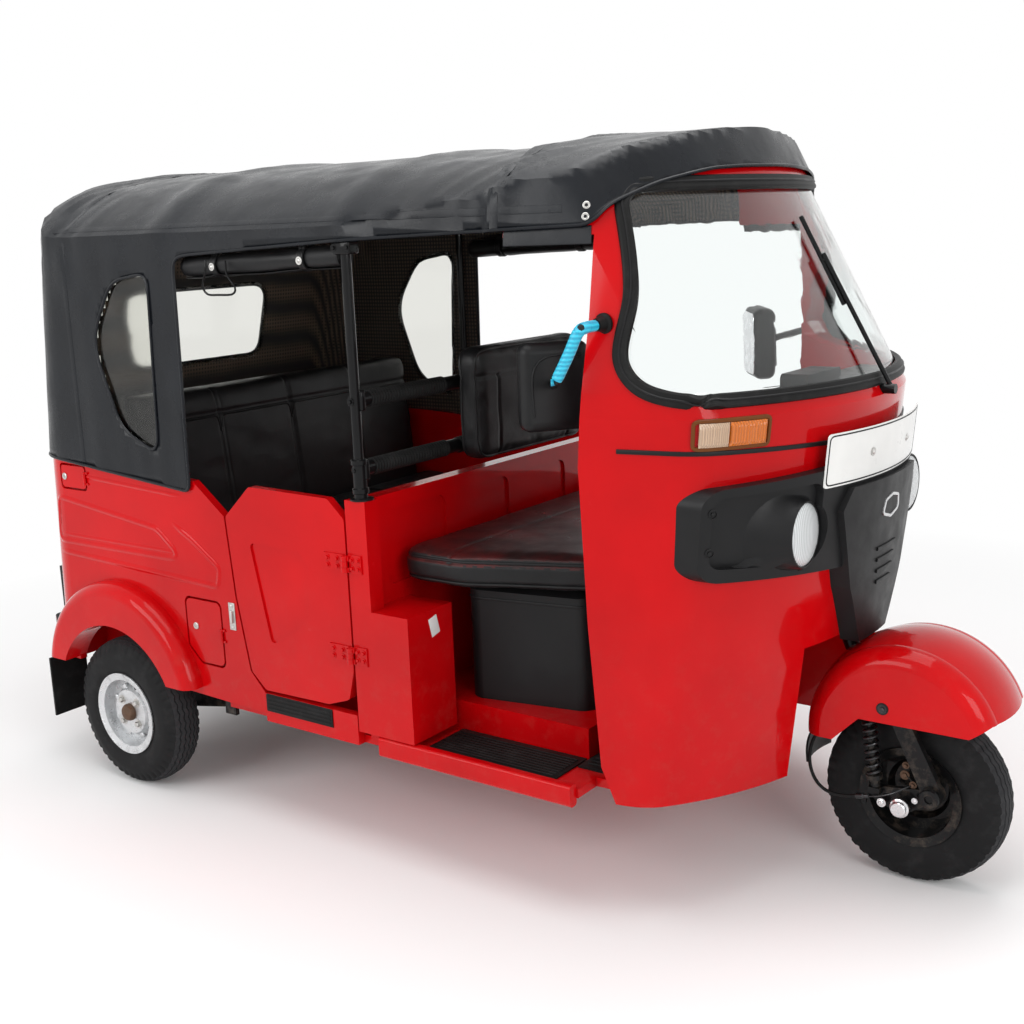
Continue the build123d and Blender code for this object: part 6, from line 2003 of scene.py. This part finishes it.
# ---- Front fork, wheel and cable fittings --------------------------------------------------------
SHOCK_LOW = Vector((FRONT_X - 0.062, -0.096, 0.2386))
SHOCK_HIGH = Vector((FRONT_X - 0.088, -0.096, 0.4554))


def make_shock():
    """An open coil spring round its damper, between two cups."""
    along = (SHOCK_HIGH - SHOCK_LOW).normalized()
    length = (SHOCK_HIGH - SHOCK_LOW).length
    u = along.cross(Vector((0, 1, 0))).normalized()
    v = along.cross(u)
    bm = bmesh.new()
    turns, start, end = 10.5, 0.030, length - 0.018
    coil = []
    for k in range(int(turns * 20) + 1):
        t = k / (turns * 20)
        angle = 2 * math.pi * turns * t
        centre = SHOCK_LOW + along * (start + (end - start) * t)
        coil.append(centre + (u * math.cos(angle) + v * math.sin(angle)) * 0.0143)
    tube(bm, coil, 0.0032, 8)
    finish_mesh("front_spring", bm, steel_black, "steering", replaces=["front_shock"])
    bm = bmesh.new()
    rows = [(0, 0), (0.0105, 0), (0.0105, 0.016), (0.0182, 0.018), (0.0182, 0.028), (0.0085, 0.030)]
    rows += [(0.0085, length * 0.62), (0.0052, length * 0.63), (0.0052, length - 0.016)]
    rows += [(0.0182, length - 0.016), (0.0182, length - 0.008), (0.0105, length - 0.006)]
    rows += [(0.0105, length), (0, length)]
    lathe(bm, rows, SHOCK_LOW, along, 32)
    finish_mesh("front_damper", bm, black_paint, "steering")


def make_axle_parts():
    """Silver axle cap, pivot ring, bolts, drum lever and the bare cable end."""
    bm = bmesh.new()
    face = Vector((FRONT_X, -0.1138, AXLE_Z))
    cap = [(0.0215, 0.0), (0.0215, 0.0035), (0.0178, 0.0055), (0.0172, 0.0125), (0.0152, 0.0145)]
    cap += [(0, 0.0148)]
    lathe(bm, cap, face, (0, -1, 0), 40)
    bolt(bm, Vector((FRONT_X - 0.044, -0.1062, 0.207)), (0, -1, 0), 0.0060, 0.0050)
    bolt(bm, Vector((FRONT_X + 0.030, -0.1062, 0.228)), (0, -1, 0), 0.0040, 0.0035)
    finish_mesh("axle_bolts", bm, steel, "steering")
    bm = bmesh.new()
    pivot = Vector((FRONT_X + 0.062, -0.108, 0.240))
    ring = [(0.0095, 0.001), (0.0095, 0.0040), (0.0150, 0.0055), (0.0205, 0.0040), (0.0225, 0.0)]
    lathe(bm, [*ring, ring[0]], pivot, (0, -1, 0), 40)
    lathe(bm, [(0.0094, -0.004), (0.0, -0.004)], pivot, (0, -1, 0), 24)
    lever = [
        Vector((FRONT_X - 0.002, -0.0765, 0.272)),
        Vector((FRONT_X + 0.012, -0.0790, 0.262)),
        Vector((FRONT_X + 0.018, -0.0800, 0.254)),
    ]
    tube(bm, smooth_path(lever, 0.004), 0.0055, 10, flat=0.6)
    for k, spot in enumerate((lever[0], lever[-1])):
        bolt(bm, spot + Vector((0, -0.004, 0)), (0, -1, 0), 0.0062 - 0.0012 * k, 0.005, 2)
    bolt(bm, Vector((FRONT_X - 0.001, -0.078, 0.294)), (0, -1, 0), 0.0048, 0.005, 2)
    tip = Vector((FRONT_X - 0.088, -0.110, 0.214))
    wire = [
        tip,
        Vector((FRONT_X - 0.055, -0.1145, 0.222)),
        Vector((FRONT_X - 0.020, -0.114, 0.236)),
        Vector((FRONT_X + 0.004, -0.102, 0.2495)),
        lever[-1] + Vector((0, -0.006, 0)),
    ]
    tube(bm, smooth_path(wire, 0.005), 0.0017, 8, index=1)
    aim = (wire[1] - tip).normalized()
    ferrule = [(0.0046, -0.014), (0.0068, -0.013), (0.0068, 0.004), (0.0052, 0.006), (0.0052, 0.014)]
    ferrule += [(0.0030, 0.018), (0.0, 0.018)]
    lathe(bm, ferrule, tip, aim, 24, 1)
    rounded_block(bm, tip + Vector((0.004, 0.004, -0.008)), (0.012, 0.010, 0.018), 0.003)
    finish_mesh("brake_fittings", bm, [black_paint, steel_black, hub_brown], "steering")


def make_fender_parts():
    """Bolt and washer on each side of the front guard, and its rubber flap."""
    tree = node_tree("front_fender")
    bm = bmesh.new()
    for side in (1, -1):
        spot, normal = lay(tree, (FRONT_X - 0.036, side * 0.6, 0.437), (0, -side, 0))
        if spot is not None:
            lathe(bm, [(0, 0), (0.0135, 0), (0.0135, 0.0016), (0, 0.0018)], spot, normal, 32)
            bolt(bm, spot + normal * 0.0016, normal, 0.0060, 0.0050, 1)
    finish_mesh("fender_bolts", bm, [satin_black, steel_black], "steering")
    bm = bmesh.new()
    rows = []
    for k in range(13):
        t = k / 12
        x = FRONT_X - 0.206 - 0.040 * t - 0.014 * math.sin(math.pi * t)
        z = 0.372 - 0.125 * t
        half = 0.088 - 0.020 * t
        row = []
        for j in range(15):
            y = -half + 2 * half * j / 14
            row.append(bm.verts.new((x + 0.010 * (y / half) ** 2, y, z)))
        rows.append(row)
    for low, high in zip(rows, rows[1:]):
        for j in range(14):
            bm.faces.new((low[j], low[j + 1], high[j + 1], high[j]))
    flap = finish_mesh("front_mud_flap", bm, soft_rubber, "steering")
    modify(flap, "SOLIDIFY", thickness=0.004, offset=0.0)
    apply_modifiers(flap)


BAR_MIDDLE = on_axis(0.990)
BAR_FORWARD = Vector((math.cos(RAKE), 0, math.sin(RAKE)))
BAR_UP = Vector((-math.sin(RAKE), 0, math.cos(RAKE)))
BAR_HALF, BAR_SWEEP, BAR_KNEE = 0.280, 0.130, 0.090


def bar_side(side):
    """Start of the grip, end of the bar, and the way ahead across the grip."""
    knee = BAR_MIDDLE + BAR_FORWARD * 0.004 + Vector((0, side * BAR_KNEE, 0))
    end = BAR_MIDDLE - BAR_FORWARD * BAR_SWEEP + Vector((0, side * BAR_HALF, 0))
    along = (end - knee).normalized()
    ahead = (BAR_FORWARD - along * BAR_FORWARD.dot(along)).normalized()
    return knee.lerp(end, 0.45), end, along, ahead


def make_handlebar_parts():
    """Ribbed grips, two levers, switch keys and the instrument face on the pod."""
    bm = bmesh.new()
    for side in (1, -1):
        start, end, along, _ = bar_side(side)
        length = (end - start).length
        count = int(length / 0.0068)
        rows = []
        for k in range(count):
            at = k * length / count
            rows += [(0.0161, at), (0.0169, at + 0.0012), (0.0169, at + 0.0044), (0.0161, at + 0.0056)]
        lathe(bm, rows, start, along, 28)
        collar = [(0.0161, -0.004), (0.0192, -0.003), (0.0192, 0.002), (0.0161, 0.003)]
        lathe(bm, collar, start, along, 28)
    finish_mesh("bar_grips", bm, soft_rubber, "steering")
    bm = bmesh.new()
    for side in (1, -1):
        start, end, along, ahead = bar_side(side)
        root = start - along * 0.016
        lever = [
            root + ahead * 0.016 + BAR_UP * 0.004,
            root + ahead * 0.030,
            start + along * 0.030 + ahead * 0.038 - BAR_UP * 0.003,
            end - along * 0.020 + ahead * 0.036 - BAR_UP * 0.005,
            end - along * 0.002 + ahead * 0.030 - BAR_UP * 0.005,
        ]
        tube(bm, smooth_path(lever, 0.005), 0.0050, 10, flat=0.65)
        clamp = [(0.0112, -0.012), (0.0150, -0.010), (0.0150, 0.010), (0.0112, 0.012)]
        lathe(bm, clamp, root, along, 28)
        rounded_block(bm, root + ahead * 0.018, (0.022, 0.020, 0.016), 0.004)
        rounded_block(bm, root + BAR_UP * 0.018, (0.020, 0.020, 0.010), 0.003)
    finish_mesh("bar_levers", bm, black_paint, "steering")
    bm = bmesh.new()
    face = BAR_MIDDLE + BAR_UP * 0.062
    dial = [(0, 0.001), (0.026, 0.001), (0.026, 0.0042), (0.0235, 0.0050), (0.0225, 0.0030), (0, 0.0030)]
    lathe(bm, dial, face, BAR_UP, 40)
    tilt = Matrix.Rotation(-RAKE, 4, "Y")
    rounded_block(bm, face + BAR_UP * 0.0042, (0.0016, 0.016, 0.0010), 0.0004, tilt, index=1)
    for side in (1, -1):
        lamp = face + Vector((0, side * 0.040, 0))
        lathe(bm, [(0, 0), (0.0062, 0), (0.0062, 0.002), (0, 0.0024)], lamp, BAR_UP, 20, 1)
    finish_mesh("bar_pod_face", bm, [satin_black, white_paint], "steering")


def make_mirror_parts():
    """Blue tape wound on the right arm, a rubber boot at each root, the glass and back ridge."""
    root = Vector((0.6325, -0.495, 1.290))
    elbow = root + Vector((-0.012, -0.095, -0.006))
    knee = root + Vector((-0.070, -0.101, -0.110))
    bend = elbow + Vector((-0.006, -0.001, -0.008))
    course = [root.lerp(elbow, 0.55), root.lerp(elbow, 0.85), bend]
    course += [elbow.lerp(knee, 0.5), elbow.lerp(knee, 0.97)]
    path = smooth_path(course, 0.0052)
    bm = bmesh.new()
    for k in range(len(path) - 3):
        wide = 0.0108 + 0.0012 * noise.noise(Vector((k * 0.7, 0, 0)))
        tube(bm, path[k : k + 4], wide + 0.0004 * (k % 3), 14)
    tail = path[-1]
    rounded_block(bm, tail + Vector((-0.002, -0.010, -0.004)), (0.0012, 0.016, 0.014), 0.0005)
    finish_mesh("mirror_arm_tape", bm, cyan_tape, "body")
    bm = bmesh.new()
    for side in (1, -1):
        spot, _ = lay(NOSE_TREE, (0.629, side * 0.9, 1.2888), (0, -side, 0))
        if spot is None:
            continue
        rows = [(0.0, -0.002), (0.0210, -0.002), (0.0210, 0.003), (0.0165, 0.0065), (0.0135, 0.020)]
        rows += [(0.0125, 0.026), (0.0, 0.026)]
        lathe(bm, rows, spot, (-0.12, side, -0.06), 36)
    finish_mesh("mirror_boots", bm, soft_rubber, "body")
    for side in (1, -1):
        name = side_name(side)
        centre = Vector((0.4825, side * 0.490, 1.155))
        turn = Matrix.Rotation(side * math.radians(38.0), 4, "Z")
        back = turn @ Vector((-1, 0, 0))
        across = turn @ Vector((0, 1, 0))
        bm = bmesh.new()
        corners = [(-0.062, -0.080), (0.062, -0.080), (0.062, 0.080), (-0.062, 0.080)]
        outline = rounded_outline(corners, 0.020, 8)
        inside = [centre + back * 0.0294 + across * y + Vector((0, 0, z)) for y, z in outline]
        verts = [bm.verts.new(p + back * 0.0004) for p in inside]
        low = [bm.verts.new(p - back * 0.0012) for p in inside]
        bm.faces.new(verts)
        bm.faces.new(low[::-1])
        for k in range(len(verts)):
            n = (k + 1) % len(verts)
            bm.faces.new((verts[k], verts[n], low[n], low[k]))
        finish_mesh(f"mirror_glass_{name}", bm, chrome, "body", smooth=False)
        bm = bmesh.new()
        places = ((0.055, 0.064), (-0.020, 0.064), (-0.052, 0.030), (-0.052, -0.060))
        ridge = [centre - back * 0.0296 + across * y + Vector((0, 0, z)) for y, z in places]
        tube(bm, smooth_path(ridge, 0.006), 0.0026, 8)
        finish_mesh(f"mirror_ridge_{name}", bm, satin_black, "body")


def make_valance():
    """Black cloth strip that hides the shell's rail below the canopy's side hem."""
    bm = bmesh.new()
    for side in (1, -1):
        spots, normals = side_line(NOSE_TREE, [(0.409, 1.462), (0.596, 1.462)], side, 0.0004, 0.010)
        if len(spots) > 3:
            ribbon(bm, spots, normals, 0.0185, 0.0016)
    finish_mesh("side_valance", bm, canopy_vinyl, "body")


steel_black = metal("spring_steel", (0.05, 0.05, 0.052), 0.3, 0.9, 0.2).mat
make_shock()
make_axle_parts()
make_fender_parts()
make_handlebar_parts()
make_mirror_parts()
make_valance()
